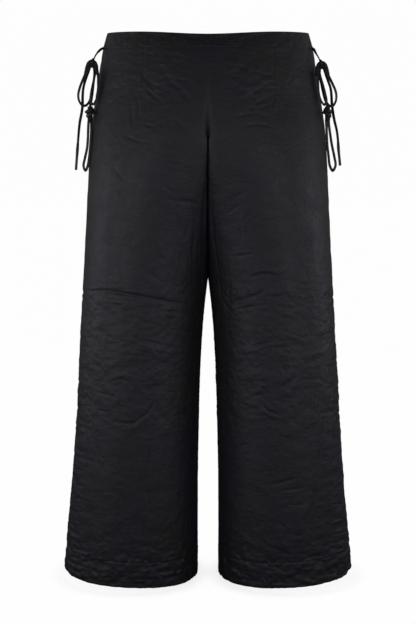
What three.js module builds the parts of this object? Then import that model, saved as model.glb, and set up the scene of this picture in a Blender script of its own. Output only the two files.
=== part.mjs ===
// Wide-leg trousers with a tie at each side, in millimetres, +Z up.
// The front faces -Y and the wearer's right is at -X. The origin is the middle of the waist opening,
// level with its top edge. The cloth is a thin wall round the empty torso and legs.
import * as THREE from 'three';

// Driving dimensions.
const WAISTBAND_HEIGHT = 29;
const CROTCH_DEPTH = 265;         // waist top down to where the legs part
const HEM_DEPTH = 1028;           // waist top down to the hem, at the middle of a leg
const HEM_TURN_UP = 50;           // height of the cloth turned up inside the hem
const CROTCH_CURVE = { front: 165, back: 150 };   // depth where the centre seams start to curve under
const SEAM_GAP = 0.3;             // left between neighbouring pieces
const LEG_GAP = 1.2;              // left between the legs where they touch
const CLOTH = 1.6;                // wall of a panel
const BAND_CLOTH = 2.6;           // wall of the doubled waistband
const HEM_CLOTH = 2.8;            // wall where the hem is turned up
const OVAL_POWER = 2.2;           // 2 is an ellipse, more is squarer
const FRONT_DIP = { depth: 6, reach: 90 };   // the waist's top edge sinks at the front middle
const HEM_TILT = 0.05;            // the outer side of a hem is higher than its inner side
const TIE_WIDTH = 4;
const TIE_SIDES = 8;
const TIE_STEP = 11;              // length of one straight piece of a tie

// Level sections of one half of the garment, from the waist down. Each is an oval that reaches `out`
// to the side and `inn` to the middle. Where `inn` lies past the middle, the centre seam or the
// other leg cuts the oval off flat. `seam` is how far the side seam sits forward of the widest point.
const SECTIONS = [
  { z: 0, out: 186, inn: -186, front: 131, back: 128, seam: 36 },
  { z: -29, out: 193, inn: -193, front: 137, back: 136, seam: 38 },
  { z: -60, out: 198, inn: -198, front: 142, back: 146, seam: 37 },
  { z: -105, out: 206, inn: -206, front: 147, back: 155, seam: 34 },
  { z: -135, out: 211, inn: -188, front: 148.5, back: 159, seam: 30 },
  { z: -160, out: 215, inn: -163, front: 148.8, back: 161, seam: 26 },
  { z: -185, out: 218, inn: -138, front: 148, back: 161, seam: 20 },
  { z: -222, out: 221, inn: -103, front: 145.5, back: 158, seam: 11 },
  { z: -265, out: 223.6, inn: -69, front: 140.8, back: 152, seam: 2 },
  { z: -315, out: 226.5, inn: -40, front: 134.5, back: 143.5, seam: 0 },
  { z: -385, out: 231, inn: -15, front: 127, back: 134, seam: 0 },
  { z: -455, out: 236, inn: 1, front: 122.5, back: 127.5, seam: 0 },
  { z: -500, out: 239, inn: 5.8, front: 120, back: 124, seam: 0 },
  { z: -555, out: 243, inn: 10.5, front: 118, back: 121, seam: 0 },
  { z: -650, out: 249, inn: 15.3, front: 115.5, back: 117, seam: 0 },
  { z: -730, out: 254, inn: 17.4, front: 114, back: 115, seam: 0 },
  { z: -840, out: 263, inn: 19.4, front: 112, back: 112.5, seam: 0 },
  { z: -985, out: 277.5, inn: 19.7, front: 110.5, back: 110.5, seam: 0 },
  { z: -HEM_DEPTH, out: 281, inn: 19.7, front: 110, back: 110, seam: 0 },
];

// Rows of a panel from the waist seam to the hem: closer where the crotch curves and the folds lie.
const ROW_STRETCHES = [
  { to: -225, rows: 9 },
  { to: -252, rows: 2 },
  { to: -264, rows: 2 },
  { to: -CROTCH_DEPTH, rows: 1 },
  { to: -272, rows: 1 },
  { to: -444, rows: 7 },
  { to: -520, rows: 7 },
  { to: -670, rows: 5 },
  { to: -742, rows: 6 },
  { to: -HEM_DEPTH + HEM_TURN_UP, rows: 8 },
  { to: -HEM_DEPTH + HEM_TURN_UP - 4, rows: 1 },
  { to: -HEM_DEPTH, rows: 2 },
];
const PANEL_COLUMNS = 15;
const GROOVE_COLUMNS = 4;         // columns kept for the flat between the halves,
const GROOVE_REACH = 60;          // and the least stretch that they cover
const BAND_COLUMNS = 28;
const BAND_ROWS = 2;
const PANEL_WIDTH = 370;          // round a leg from inseam to side seam, for the folds' directions

// Soft folds pressed into the cloth. u runs from the centre seam or inseam, 0, to the side seam, 1.
// A negative depth stands out as a ridge.
const FOLDS = [
  { panel: 'front_right', u0: 0.9, z0: -480, u1: 0.14, z1: -508, depth: 3, reach: 9 },
  { panel: 'front_right', u0: 0.85, z0: -684, u1: 0.62, z1: -680, depth: 3, reach: 10 },
  { panel: 'front_right', u0: 0.62, z0: -680, u1: 0.46, z1: -732, depth: 2.5, reach: 10 },
  { panel: 'front_right', u0: 0.46, z0: -732, u1: 0.24, z1: -698, depth: 2.5, reach: 10 },
  { panel: 'front_right', u0: 0.44, z0: -755, u1: 0.42, z1: -960, depth: 3, reach: 16 },
  { panel: 'front_left', u0: 0.14, z0: -506, u1: 0.9, z1: -480, depth: 3, reach: 9 },
  { panel: 'front_left', u0: 0.3, z0: -456, u1: 0.5, z1: -448, depth: 2.5, reach: 9 },
  { panel: 'front_left', u0: 0.14, z0: -686, u1: 0.36, z1: -680, depth: 2.5, reach: 10 },
  { panel: 'front_left', u0: 0.36, z0: -680, u1: 0.55, z1: -724, depth: 3, reach: 10 },
  { panel: 'front_left', u0: 0.8, z0: -730, u1: 0.62, z1: -955, depth: -2.5, reach: 18 },
  { panel: 'back_right', u0: 0.86, z0: -486, u1: 0.16, z1: -500, depth: 3, reach: 10 },
  { panel: 'back_right', u0: 0.8, z0: -455, u1: 0.4, z1: -468, depth: 2.5, reach: 10 },
  { panel: 'back_right', u0: 0.5, z0: -715, u1: 0.46, z1: -930, depth: 3, reach: 16 },
  { panel: 'back_left', u0: 0.16, z0: -492, u1: 0.88, z1: -482, depth: 3, reach: 10 },
  { panel: 'back_left', u0: 0.3, z0: -706, u1: 0.6, z1: -728, depth: 2.5, reach: 10 },
  { panel: 'back_left', u0: 0.6, z0: -760, u1: 0.5, z1: -940, depth: 3, reach: 16 },
];

// Routes of the ties, one list of points for each stretch, on the wearer's right and left. All but
// the lead hang from the underside of the bow knot, and the end loop hangs from the end knot.
const TIE_ROUTES = {
  right: {
    tie_lead: [
      [-188.4, -39.5, -28], [-191, -43, -28], [-197, -48, -33], [-203, -51.5, -41], [-206, -52.5, -47.4],
    ],
    tie_outer_loop: [
      [-215, -56.5, -60.9], [-217, -57, -67], [-222.5, -58, -77], [-227, -59, -87], [-231, -59, -97],
      [-234.5, -58, -111], [-233, -56, -122], [-227.5, -54, -129.5], [-221, -53.5, -129.5],
      [-215.5, -52.5, -123], [-211.5, -51.5, -111], [-209, -50.5, -98], [-207, -50, -82],
      [-206.5, -50.8, -69], [-207.5, -52.5, -60.9],
    ],
    tie_inner_loop: [
      [-202.5, -57.5, -60.9], [-201, -59, -66.5], [-198, -62.5, -77], [-198, -64, -89], [-198.2, -64, -101],
      [-200, -63, -112], [-203.5, -61, -122], [-208, -60, -128], [-212, -59, -123.5], [-211.5, -59, -110],
      [-208.5, -58.5, -95], [-205.5, -57.5, -82], [-203, -55, -70], [-203, -52, -60.9],
    ],
    tie_tail: [
      [-213.5, -50, -60.9], [-216.5, -51, -70], [-222, -52, -85], [-226, -51, -100], [-227.5, -49, -114],
      [-228, -47, -128], [-230, -45, -142], [-234, -43, -160], [-237, -41, -184], [-240, -39, -215],
      [-243, -38, -247],
    ],
    tie_drop: [
      [-206.5, -47.5, -60.9], [-205.8, -45, -72], [-208, -43.5, -90], [-210, -44.5, -107],
      [-212, -46.5, -120], [-213.5, -49.2, -128], [-214, -50, -132.4],
    ],
    tie_end_loop: [
      [-216.4, -51.7, -154.7], [-217.2, -52, -160], [-218, -52, -172], [-218.8, -51.5, -188],
      [-220.8, -51, -207], [-225, -50.5, -225], [-227.8, -50, -239], [-224.4, -50, -247.5],
      [-220.4, -50.5, -240], [-217.4, -51, -225], [-215, -52, -206], [-213.2, -52.5, -188],
      [-212.4, -50.5, -170], [-212.6, -48.4, -154.7],
    ],
  },
  left: {
    tie_lead: [
      [188.4, -39.5, -28], [191, -43, -29], [195, -48, -37], [199.5, -51.5, -44.5], [201.8, -52.5, -50],
    ],
    tie_outer_loop: [
      [211, -56.5, -63.4], [213.2, -57, -69.5], [219.5, -58, -81], [225.5, -59, -93], [230, -59, -103],
      [232, -58, -112], [231, -56, -123], [226, -54, -130.5], [220, -54, -130], [214.5, -52.5, -123],
      [211, -51.5, -112], [208.5, -50.5, -98], [205, -50, -82], [203, -50.8, -71], [203.5, -52.5, -63.4],
    ],
    tie_inner_loop: [
      [198.5, -57.5, -63.4], [197.8, -59, -69], [198, -62.5, -80], [198.6, -64, -93], [199.6, -63, -104],
      [202, -62, -115], [206, -60.5, -124], [210.5, -59.5, -128.5], [214, -59, -123], [212, -59, -110],
      [208, -58.5, -95], [204, -57.5, -82], [201, -55.5, -72], [199, -52, -63.4],
    ],
    tie_tail: [
      [209.5, -50, -63.4], [212, -51, -71], [216.5, -52, -84], [222, -51, -99], [224, -49, -112],
      [225, -47, -124], [227, -45, -138], [230.5, -43, -156], [235.5, -41, -175], [238, -40, -192],
      [239.5, -39, -210], [241.5, -38, -226], [243, -38, -239],
    ],
    tie_drop: [
      [202.5, -47.5, -63.4], [202.5, -45, -75], [205.5, -43.5, -89], [209, -44.5, -105], [213, -46.5, -120],
      [216.3, -49.2, -128], [216.8, -50, -132.4],
    ],
    tie_end_loop: [
      [214.6, -51.5, -154.7], [215.3, -50.5, -162], [217.2, -46, -188], [218.7, -44, -205], [221, -44, -222],
      [223.5, -44, -239], [229, -43.5, -248], [234, -43, -239], [231, -43, -220], [226.5, -43, -200],
      [223, -44, -180], [220.7, -46.5, -166], [219.2, -48.2, -154.7],
    ],
  },
};

// Knots turned about a vertical axis: radius at each height, from the flat underside up.
const BOW_KNOT = {
  profile: [
    { r: 7.6, h: 0 }, { r: 9, h: 3 }, { r: 8.6, h: 7 }, { r: 6, h: 10.5 }, { r: 2.5, h: 12 },
  ],
  at: { right: [-209, -53, -60], left: [205, -53, -62.5] },
};
const END_KNOT = {
  profile: [
    { r: 5, h: 0 }, { r: 5.4, h: 4 }, { r: 8.2, h: 9 }, { r: 8.4, h: 14 }, { r: 6.4, h: 18.5 },
    { r: 3, h: 21 },
  ],
  at: { right: [-214, -50, -154], left: [217, -50, -154] },
};
const KNOT_SIDES = 12;

const FINISHES = {
  satin: new THREE.MeshStandardMaterial({ color: 0x1b1b1e, roughness: 0.5, metalness: 0 }),
  tie: new THREE.MeshStandardMaterial({ color: 0x202024, roughness: 0.45, metalness: 0 }),
};

// One column of the section table as a smooth function of height that never overshoots its rows.
function sectionColumn(name) {
  const slopes = SECTIONS.map((row, i) => {
    const above = SECTIONS[i - 1];
    const below = SECTIONS[i + 1];
    if (!above || !below) return 0;
    const before = (row[name] - above[name]) / (row.z - above.z);
    const after = (below[name] - row[name]) / (below.z - row.z);
    return before * after > 0 ? 2 * before * after / (before + after) : 0;
  });
  return (z) => {
    const last = SECTIONS.length - 2;
    let i = 0;
    while (i < last && z < SECTIONS[i + 1].z) i += 1;
    const span = SECTIONS[i + 1].z - SECTIONS[i].z;
    const t = THREE.MathUtils.clamp((z - SECTIONS[i].z) / span, 0, 1);
    const rise = SECTIONS[i + 1][name] - SECTIONS[i][name];
    const ease = t * t * (3 - 2 * t);
    const lean = span * t * (1 - t) * (slopes[i] * (1 - t) - slopes[i + 1] * t);
    return SECTIONS[i][name] + rise * ease + lean;
  };
}

const outAt = sectionColumn('out');
const innAt = sectionColumn('inn');
const frontAt = sectionColumn('front');
const backAt = sectionColumn('back');
const seamAt = sectionColumn('seam');

const ovalBend = (value) => Math.sign(value) * Math.abs(value) ** (2 / OVAL_POWER);
const ovalUnbend = (value) => Math.abs(value) ** (OVAL_POWER / 2);

// A point of the left half's outer surface. The angle runs from the innermost point, 0, round the
// front to the side, PI, and on round the back.
function surfacePoint(angle, z) {
  const middle = (outAt(z) + innAt(z)) / 2;
  const halfWidth = (outAt(z) - innAt(z)) / 2;
  const depth = angle < Math.PI ? frontAt(z) : backAt(z);
  const x = middle - halfWidth * ovalBend(Math.cos(angle));
  const y = -depth * ovalBend(Math.sin(angle));
  const legShare = THREE.MathUtils.clamp((-z - CROTCH_DEPTH) / (HEM_DEPTH - CROTCH_DEPTH), 0, 1);
  return new THREE.Vector3(x, y, z + HEM_TILT * legShare * (x - middle));
}

function surfaceNormal(angle, z) {
  const step = 0.002;
  const reach = 0.5;
  const along = surfacePoint(angle + step, z).sub(surfacePoint(angle - step, z));
  const down = surfacePoint(angle, z - reach).sub(surfacePoint(angle, z + reach));
  return down.cross(along).normalize();
}

const sideSeamAngle = (z) => Math.PI - Math.asin(ovalUnbend(seamAt(z) / frontAt(z)));

// Half the space between the two halves of the garment, from the centre seam to between the legs.
function halfGap(z) {
  const below = THREE.MathUtils.clamp((-z - CROTCH_DEPTH) / (LEG_GAP * 10), 0, 1);
  return (SEAM_GAP + (LEG_GAP - SEAM_GAP) * below) / 2;
}

// The angle where a section's oval meets the flat between the halves, or the inseam once it is clear.
function meetingAngle(z, depth) {
  const middle = (outAt(z) + innAt(z)) / 2;
  const halfWidth = (outAt(z) - innAt(z)) / 2;
  const inseam = Math.asin(ovalUnbend(SEAM_GAP / 2 / depth));
  const share = (middle - halfGap(z)) / halfWidth;
  if (share >= 1) return inseam;
  return Math.max(Math.acos(Math.sign(share) * ovalUnbend(share)), inseam);
}

// How far from the inseam the centre seam lies: 1 at the flat's edge, 0 at the crotch and below.
function crotchCurve(z, top) {
  const down = THREE.MathUtils.clamp((-z - top) / (CROTCH_DEPTH - top), 0, 1);
  return Math.sqrt(1 - down * down);
}

// One row of a panel: its points, outward normals and u, from the centre seam or inseam, along the
// flat that faces the other half, and round the oval to the side seam. u is negative on the flat.
function panelRow(isFront, z) {
  const depth = isFront ? frontAt(z) : backAt(z);
  const turn = meetingAngle(z, depth);
  const start = isFront ? turn : 2 * Math.PI - turn;
  const end = sideSeamAngle(z) + (isFront ? -1 : 1) * SEAM_GAP / 2 / frontAt(z);
  const meeting = surfacePoint(start, z);
  const curve = crotchCurve(z, isFront ? CROTCH_CURVE.front : CROTCH_CURVE.back);
  const inseam = (isFront ? -1 : 1) * SEAM_GAP / 2;
  const seam = curve > 0 ? meeting.y * curve : inseam;
  const flat = Math.abs(meeting.y - seam);
  const girth = Math.abs(end - start) * (depth + outAt(z) - meeting.x) / 2;
  const groove = Math.max(flat, GROOVE_REACH);
  const row = [];
  for (let c = 0; c <= PANEL_COLUMNS; c += 1) {
    const onward = Math.max(c - GROOVE_COLUMNS, 0) / (PANEL_COLUMNS - GROOVE_COLUMNS);
    const along = groove * Math.min(c / GROOVE_COLUMNS, 1) + (flat + girth - groove) * onward;
    if (along < flat - SEAM_GAP) {
      const y = seam + (meeting.y - seam) * along / flat;
      const point = new THREE.Vector3(meeting.x, y, meeting.z);
      row.push({ point, normal: new THREE.Vector3(-1, 0, 0), u: -1 });
    } else {
      const u = Math.max(along - flat, 0) / girth;
      const angle = start + u * (end - start);
      row.push({ point: surfacePoint(angle, z), normal: surfaceNormal(angle, z), u });
    }
  }
  return row;
}

function foldDepth(panel, u, z) {
  let depth = 0;
  for (const fold of FOLDS) {
    if (fold.panel !== panel) continue;
    const across = (fold.u1 - fold.u0) * PANEL_WIDTH;
    const down = fold.z1 - fold.z0;
    const toX = (u - fold.u0) * PANEL_WIDTH;
    const toZ = z - fold.z0;
    const share = THREE.MathUtils.clamp((toX * across + toZ * down) / (across ** 2 + down ** 2), 0, 1);
    const away = Math.hypot(toX - share * across, toZ - share * down) / fold.reach;
    const taper = Math.sin(Math.PI * (0.1 + 0.8 * share));
    depth += fold.depth * taper * Math.exp(-away * away);
  }
  return depth;
}

// A closed wall between an outer and an inner grid of points, rows from the top down.
function wallGeometry(outer, inner) {
  const rows = outer.length;
  const columns = outer[0].length;
  const points = [...outer.flat(), ...inner.flat()];
  const out = (row, column) => row * columns + column;
  const inn = (row, column) => rows * columns + row * columns + column;
  const faces = [];
  const quad = (a, b, c, d) => faces.push(a, b, c, a, c, d);
  for (let r = 0; r < rows - 1; r += 1) {
    for (let c = 0; c < columns - 1; c += 1) {
      quad(out(r, c), out(r + 1, c), out(r + 1, c + 1), out(r, c + 1));
      quad(inn(r, c), inn(r, c + 1), inn(r + 1, c + 1), inn(r + 1, c));
    }
    quad(out(r, 0), inn(r, 0), inn(r + 1, 0), out(r + 1, 0));
    quad(out(r, columns - 1), out(r + 1, columns - 1), inn(r + 1, columns - 1), inn(r, columns - 1));
  }
  for (let c = 0; c < columns - 1; c += 1) {
    quad(out(0, c), out(0, c + 1), inn(0, c + 1), inn(0, c));
    quad(out(rows - 1, c), inn(rows - 1, c), inn(rows - 1, c + 1), out(rows - 1, c + 1));
  }
  const geometry = new THREE.BufferGeometry();
  geometry.setAttribute('position', new THREE.Float32BufferAttribute(points.flatMap((p) => p.toArray()), 3));
  geometry.setIndex(faces);
  return geometry;
}

// Turns every face over where the two grids were laid out mirror-wise.
function facingOut(geometry) {
  const position = geometry.getAttribute('position');
  const index = geometry.getIndex();
  const corner = [0, 1, 2].map(() => new THREE.Vector3());
  let volume = 0;
  for (let i = 0; i < index.count; i += 3) {
    corner.forEach((point, k) => point.fromBufferAttribute(position, index.getX(i + k)));
    volume += corner[0].dot(corner[1].cross(corner[2]));
  }
  if (volume < 0) geometry.setIndex(Array.from(index.array).reverse());
  return geometry;
}

function panelRows() {
  const heights = [-WAISTBAND_HEIGHT - SEAM_GAP / 2];
  for (const { to, rows } of ROW_STRETCHES) {
    const from = heights.at(-1);
    for (let i = 1; i <= rows; i += 1) heights.push(from + (to - from) * i / rows);
  }
  return heights;
}

// A front or back panel: waist seam to hem, centre seam and inseam to side seam.
function panelMesh(name, isFront, mirror) {
  const outer = [];
  const inner = [];
  for (const z of panelRows()) {
    const wall = z < -HEM_DEPTH + HEM_TURN_UP - 1 ? HEM_CLOTH : CLOTH;
    const outerRow = [];
    const innerRow = [];
    for (const { point, normal, u } of panelRow(isFront, z)) {
      if (u >= 0) point.addScaledVector(normal, -foldDepth(name, u, z));
      const lining = point.clone().addScaledVector(normal, -wall);
      outerRow.push(point.setX(point.x * mirror));
      innerRow.push(lining.setX(lining.x * mirror));
    }
    outer.push(outerRow);
    inner.push(innerRow);
  }
  const mesh = new THREE.Mesh(facingOut(wallGeometry(outer, inner)), FINISHES.satin);
  mesh.name = name;
  return mesh;
}

// Half the waistband, from one side seam across the middle to the other.
function waistbandMesh(name, isFront) {
  const bottom = -WAISTBAND_HEIGHT + SEAM_GAP / 2;
  const outer = [];
  const inner = [];
  for (let r = 0; r <= BAND_ROWS; r += 1) {
    const outerRow = [];
    const innerRow = [];
    for (let c = 0; c <= BAND_COLUMNS; c += 1) {
      const across = 2 * c / BAND_COLUMNS - 1;
      const side = across < 0 ? -1 : 1;
      const level = bottom * r / BAND_ROWS;
      const seam = sideSeamAngle(level) + (isFront ? -1 : 1) * SEAM_GAP / 2 / frontAt(level);
      const middle = isFront ? Math.PI / 2 : Math.PI * 1.5;
      const angle = middle + Math.abs(across) * (seam - middle);
      const normal = surfaceNormal(angle, level);
      const point = surfacePoint(angle, level);
      const dip = isFront ? FRONT_DIP.depth * Math.exp(-((point.x / FRONT_DIP.reach) ** 2)) : 0;
      point.z -= dip * (1 - r / BAND_ROWS);
      const lining = point.clone().addScaledVector(normal, -BAND_CLOTH);
      outerRow.push(point.setX(point.x * side));
      innerRow.push(lining.setX(lining.x * side));
    }
    outer.push(outerRow);
    inner.push(innerRow);
  }
  const mesh = new THREE.Mesh(facingOut(wallGeometry(outer, inner)), FINISHES.satin);
  mesh.name = name;
  return mesh;
}

// One stretch of a tie: a plain tube along its route.
function tieMesh(name, route) {
  const path = new THREE.CatmullRomCurve3(route.map(([x, y, z]) => new THREE.Vector3(x, y, z)));
  const corners = [];
  for (let i = 0; i < TIE_SIDES; i += 1) {
    const turn = 2 * Math.PI * i / TIE_SIDES;
    corners.push(new THREE.Vector2(Math.cos(turn), Math.sin(turn)).multiplyScalar(TIE_WIDTH / 2));
  }
  const steps = Math.max(3, Math.round(path.getLength() / TIE_STEP));
  const geometry = new THREE.ExtrudeGeometry(new THREE.Shape(corners), { steps, extrudePath: path });
  const mesh = new THREE.Mesh(geometry, FINISHES.tie);
  mesh.name = name;
  return mesh;
}

function knotMesh(name, knot, side) {
  const top = knot.profile.at(-1).h;
  const outline = knot.profile.map(({ r, h }) => new THREE.Vector2(r, h));
  const profile = [new THREE.Vector2(0, 0), ...outline, new THREE.Vector2(0, top)];
  const mesh = new THREE.Mesh(new THREE.LatheGeometry(profile, KNOT_SIDES), FINISHES.tie);
  mesh.rotation.x = Math.PI / 2;
  mesh.position.set(...knot.at[side]);
  mesh.name = name;
  return mesh;
}

const trousers = new THREE.Group();
trousers.add(waistbandMesh('waistband_front', true), waistbandMesh('waistband_back', false));
for (const [side, mirror] of [['right', -1], ['left', 1]]) {
  trousers.add(panelMesh(`front_${side}`, true, mirror), panelMesh(`back_${side}`, false, mirror));
  for (const [stretch, route] of Object.entries(TIE_ROUTES[side])) {
    trousers.add(tieMesh(`${stretch}_${side}`, route));
  }
  trousers.add(knotMesh(`tie_bow_knot_${side}`, BOW_KNOT, side));
  trousers.add(knotMesh(`tie_end_knot_${side}`, END_KNOT, side));
}

export default trousers;
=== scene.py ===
import math

import bpy
import numpy as np
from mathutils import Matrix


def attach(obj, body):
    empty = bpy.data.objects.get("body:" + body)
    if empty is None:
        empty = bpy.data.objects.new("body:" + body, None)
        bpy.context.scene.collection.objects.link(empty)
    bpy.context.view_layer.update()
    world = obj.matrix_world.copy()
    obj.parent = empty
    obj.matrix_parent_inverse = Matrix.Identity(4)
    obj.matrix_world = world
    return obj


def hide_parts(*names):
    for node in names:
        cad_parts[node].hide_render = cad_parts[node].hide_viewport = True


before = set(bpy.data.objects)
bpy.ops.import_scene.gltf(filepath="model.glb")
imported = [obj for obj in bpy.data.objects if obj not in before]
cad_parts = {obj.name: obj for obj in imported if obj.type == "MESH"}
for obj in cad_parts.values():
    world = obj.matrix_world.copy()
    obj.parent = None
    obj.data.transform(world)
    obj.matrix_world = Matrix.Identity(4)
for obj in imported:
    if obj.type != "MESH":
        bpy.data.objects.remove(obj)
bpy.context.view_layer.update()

MM = 0.001

# ---------------------------------------------------------------------------
# View: the trousers are seen from straight in front, from a little above the
# middle of their height, looking slightly down.
camera_lens = bpy.data.cameras.new("camera")
camera_lens.sensor_fit = "VERTICAL"
camera_lens.sensor_height = 36
camera_lens.lens = 73.7
camera_lens.clip_end = 50
camera = bpy.data.objects.new("camera", camera_lens)
camera.location = (0, -2.4, -0.12)
camera.rotation_euler = (math.radians(90 - 9.42), 0, 0)
bpy.context.scene.collection.objects.link(camera)
bpy.context.scene.camera = camera


# ---------------------------------------------------------------------------
# Side ties: one narrow flat satin tape on each side, sewn into the waist seam
# and tied in a bow. Its two loops, a free tail and a drop hang from the bow
# knot, and the drop ends in a second knot with one more loop under it.
TIE_THICKNESS = 2.0
SHARP_EDGE = 60

# Places in millimetres from the middle of the waist opening, as the tie runs.
TIE_ROUTES = {
    "right": {
        "tie_lead": [
            (-188.4, -39.5, -28), (-191, -43, -28), (-197, -48, -33), (-203, -51.5, -41), (-206, -52.5, -47.4)],
        "tie_outer_loop": [
            (-215, -56.5, -60.9), (-217, -57, -67), (-222.5, -58, -77), (-227, -59, -87), (-231, -59, -97),
            (-234.5, -58, -111), (-233, -56, -122), (-227.5, -54, -129.5), (-221, -53.5, -129.5),
            (-215.5, -52.5, -123), (-211.5, -51.5, -111), (-209, -50.5, -98), (-207, -50, -82),
            (-206.5, -50.8, -69), (-207.5, -52.5, -60.9)],
        "tie_inner_loop": [
            (-202.5, -57.5, -60.9), (-201, -59, -66.5), (-198, -62.5, -77), (-198, -64, -89), (-198.2, -64, -101),
            (-200, -63, -112), (-203.5, -61, -122), (-208, -60, -128), (-212, -59, -123.5), (-211.5, -59, -110),
            (-208.5, -58.5, -95), (-205.5, -57.5, -82), (-203, -55, -70), (-203, -52, -60.9)],
        "tie_tail": [
            (-213.5, -50, -60.9), (-216.5, -51, -70), (-222, -52, -85), (-226, -51, -100), (-227.5, -49, -114),
            (-228, -47, -128), (-230, -45, -142), (-234, -43, -160), (-237, -41, -184), (-240, -39, -215),
            (-243, -38, -247)],
        "tie_drop": [
            (-206.5, -47.5, -60.9), (-205.8, -45, -72), (-208, -43.5, -90), (-210, -44.5, -107),
            (-212, -46.5, -120), (-213.5, -49.2, -128), (-214, -50, -132.4)],
        "tie_end_loop": [
            (-216.4, -51.7, -154.7), (-217.2, -52, -160), (-218, -52, -172), (-218.8, -51.5, -188),
            (-220.8, -51, -207), (-225, -50.5, -225), (-227.8, -50, -239), (-224.4, -50, -247.5),
            (-220.4, -50.5, -240), (-217.4, -51, -225), (-215, -52, -206), (-213.2, -52.5, -188),
            (-212.4, -50.5, -170), (-212.6, -48.4, -154.7)],
    },
    "left": {
        "tie_lead": [
            (188.4, -39.5, -28), (191, -43, -29), (195, -48, -37), (199.5, -51.5, -44.5), (201.8, -52.5, -50)],
        "tie_outer_loop": [
            (211, -56.5, -63.4), (213.2, -57, -69.5), (219.5, -58, -81), (225.5, -59, -93), (230, -59, -103),
            (232, -58, -112), (231, -56, -123), (226, -54, -130.5), (220, -54, -130), (214.5, -52.5, -123),
            (211, -51.5, -112), (208.5, -50.5, -98), (205, -50, -82), (203, -50.8, -71), (203.5, -52.5, -63.4)],
        "tie_inner_loop": [
            (198.5, -57.5, -63.4), (197.8, -59, -69), (198, -62.5, -80), (198.6, -64, -93), (199.6, -63, -104),
            (202, -62, -115), (206, -60.5, -124), (210.5, -59.5, -128.5), (214, -59, -123), (212, -59, -110),
            (208, -58.5, -95), (204, -57.5, -82), (201, -55.5, -72), (199, -52, -63.4)],
        "tie_tail": [
            (209.5, -50, -63.4), (212, -51, -71), (216.5, -52, -84), (222, -51, -99), (224, -49, -112),
            (225, -47, -124), (227, -45, -138), (230.5, -43, -156), (235.5, -41, -175), (238, -40, -192),
            (239.5, -39, -210), (241.5, -38, -226), (243, -38, -239)],
        "tie_drop": [
            (202.5, -47.5, -63.4), (202.5, -45, -75), (205.5, -43.5, -89), (209, -44.5, -105), (213, -46.5, -120),
            (216.3, -49.2, -128), (216.8, -50, -132.4)],
        "tie_end_loop": [
            (214.6, -51.5, -154.7), (215.3, -50.5, -162), (217.2, -46, -188), (218.7, -44, -205), (221, -44, -222),
            (223.5, -44, -239), (229, -43.5, -248), (234, -43, -239), (231, -43, -220), (226.5, -43, -200),
            (223, -44, -180), (220.7, -46.5, -166), (219.2, -48.2, -154.7)],
    },
}

# How each stretch lies: its width in millimetres, the way that its end goes,
# and how far it has turned about itself, in degrees, at shares of its length.
TIE_LIES = {
    "tie_lead": dict(width=4.8, far_end="knot", turns=[(0, 30), (0.35, 20), (0.6, -30), (1, -45)]),
    "tie_outer_loop": dict(width=5.0, far_end="knot", turns=[
        (0, 30), (0.25, 10), (0.42, -10), (0.55, 0), (0.65, 15), (0.85, 30), (1, 60)]),
    "tie_inner_loop": dict(width=5.0, far_end="knot", turns=[
        (0, 20), (0.2, -10), (0.4, -30), (0.55, -15), (0.65, 5), (1, 5)]),
    "tie_tail": dict(width=5.6, far_end="bare", turns=[
        (0, 60), (0.2, 75), (0.35, 65), (0.5, 60), (0.66, 78), (0.74, 82), (0.82, 30), (0.88, 0), (1, 0)]),
    "tie_drop": dict(width=4.8, far_end="knot", turns=[(0, 60), (1, 30)]),
    "tie_end_loop": dict(width=5.4, far_end="knot", turns=[(0, 5), (0.45, 0), (0.6, 0), (1, -5)]),
}


# A tape that doesn't turn about itself.
PLAIN = [(0, 0), (1, 0)]


def smooth_line(points, step):
    """A smooth line through the points, with a point about every step."""
    p = np.array(points, float)
    p = np.vstack([2 * p[0] - p[1], p, 2 * p[-1] - p[-2]])
    line = []
    for a, b, c, d in zip(p, p[1:], p[2:], p[3:]):
        t1 = np.linalg.norm(b - a) ** 0.5
        t2 = t1 + np.linalg.norm(c - b) ** 0.5
        t3 = t2 + np.linalg.norm(d - c) ** 0.5
        count = max(1, int(math.ceil(np.linalg.norm(c - b) / step)))
        for t in np.linspace(t1, t2, count, endpoint=False):
            a1 = ((t1 - t) * a + t * b) / t1
            a2 = ((t2 - t) * b + (t - t1) * c) / (t2 - t1)
            a3 = ((t3 - t) * c + (t - t2) * d) / (t3 - t2)
            b1 = ((t2 - t) * a1 + t * a2) / t2
            b2 = ((t3 - t) * a2 + (t - t1) * a3) / (t3 - t1)
            line.append(((t2 - t) * b1 + (t - t1) * b2) / (t2 - t1))
    line.append(p[-2])
    return np.array(line)


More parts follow.
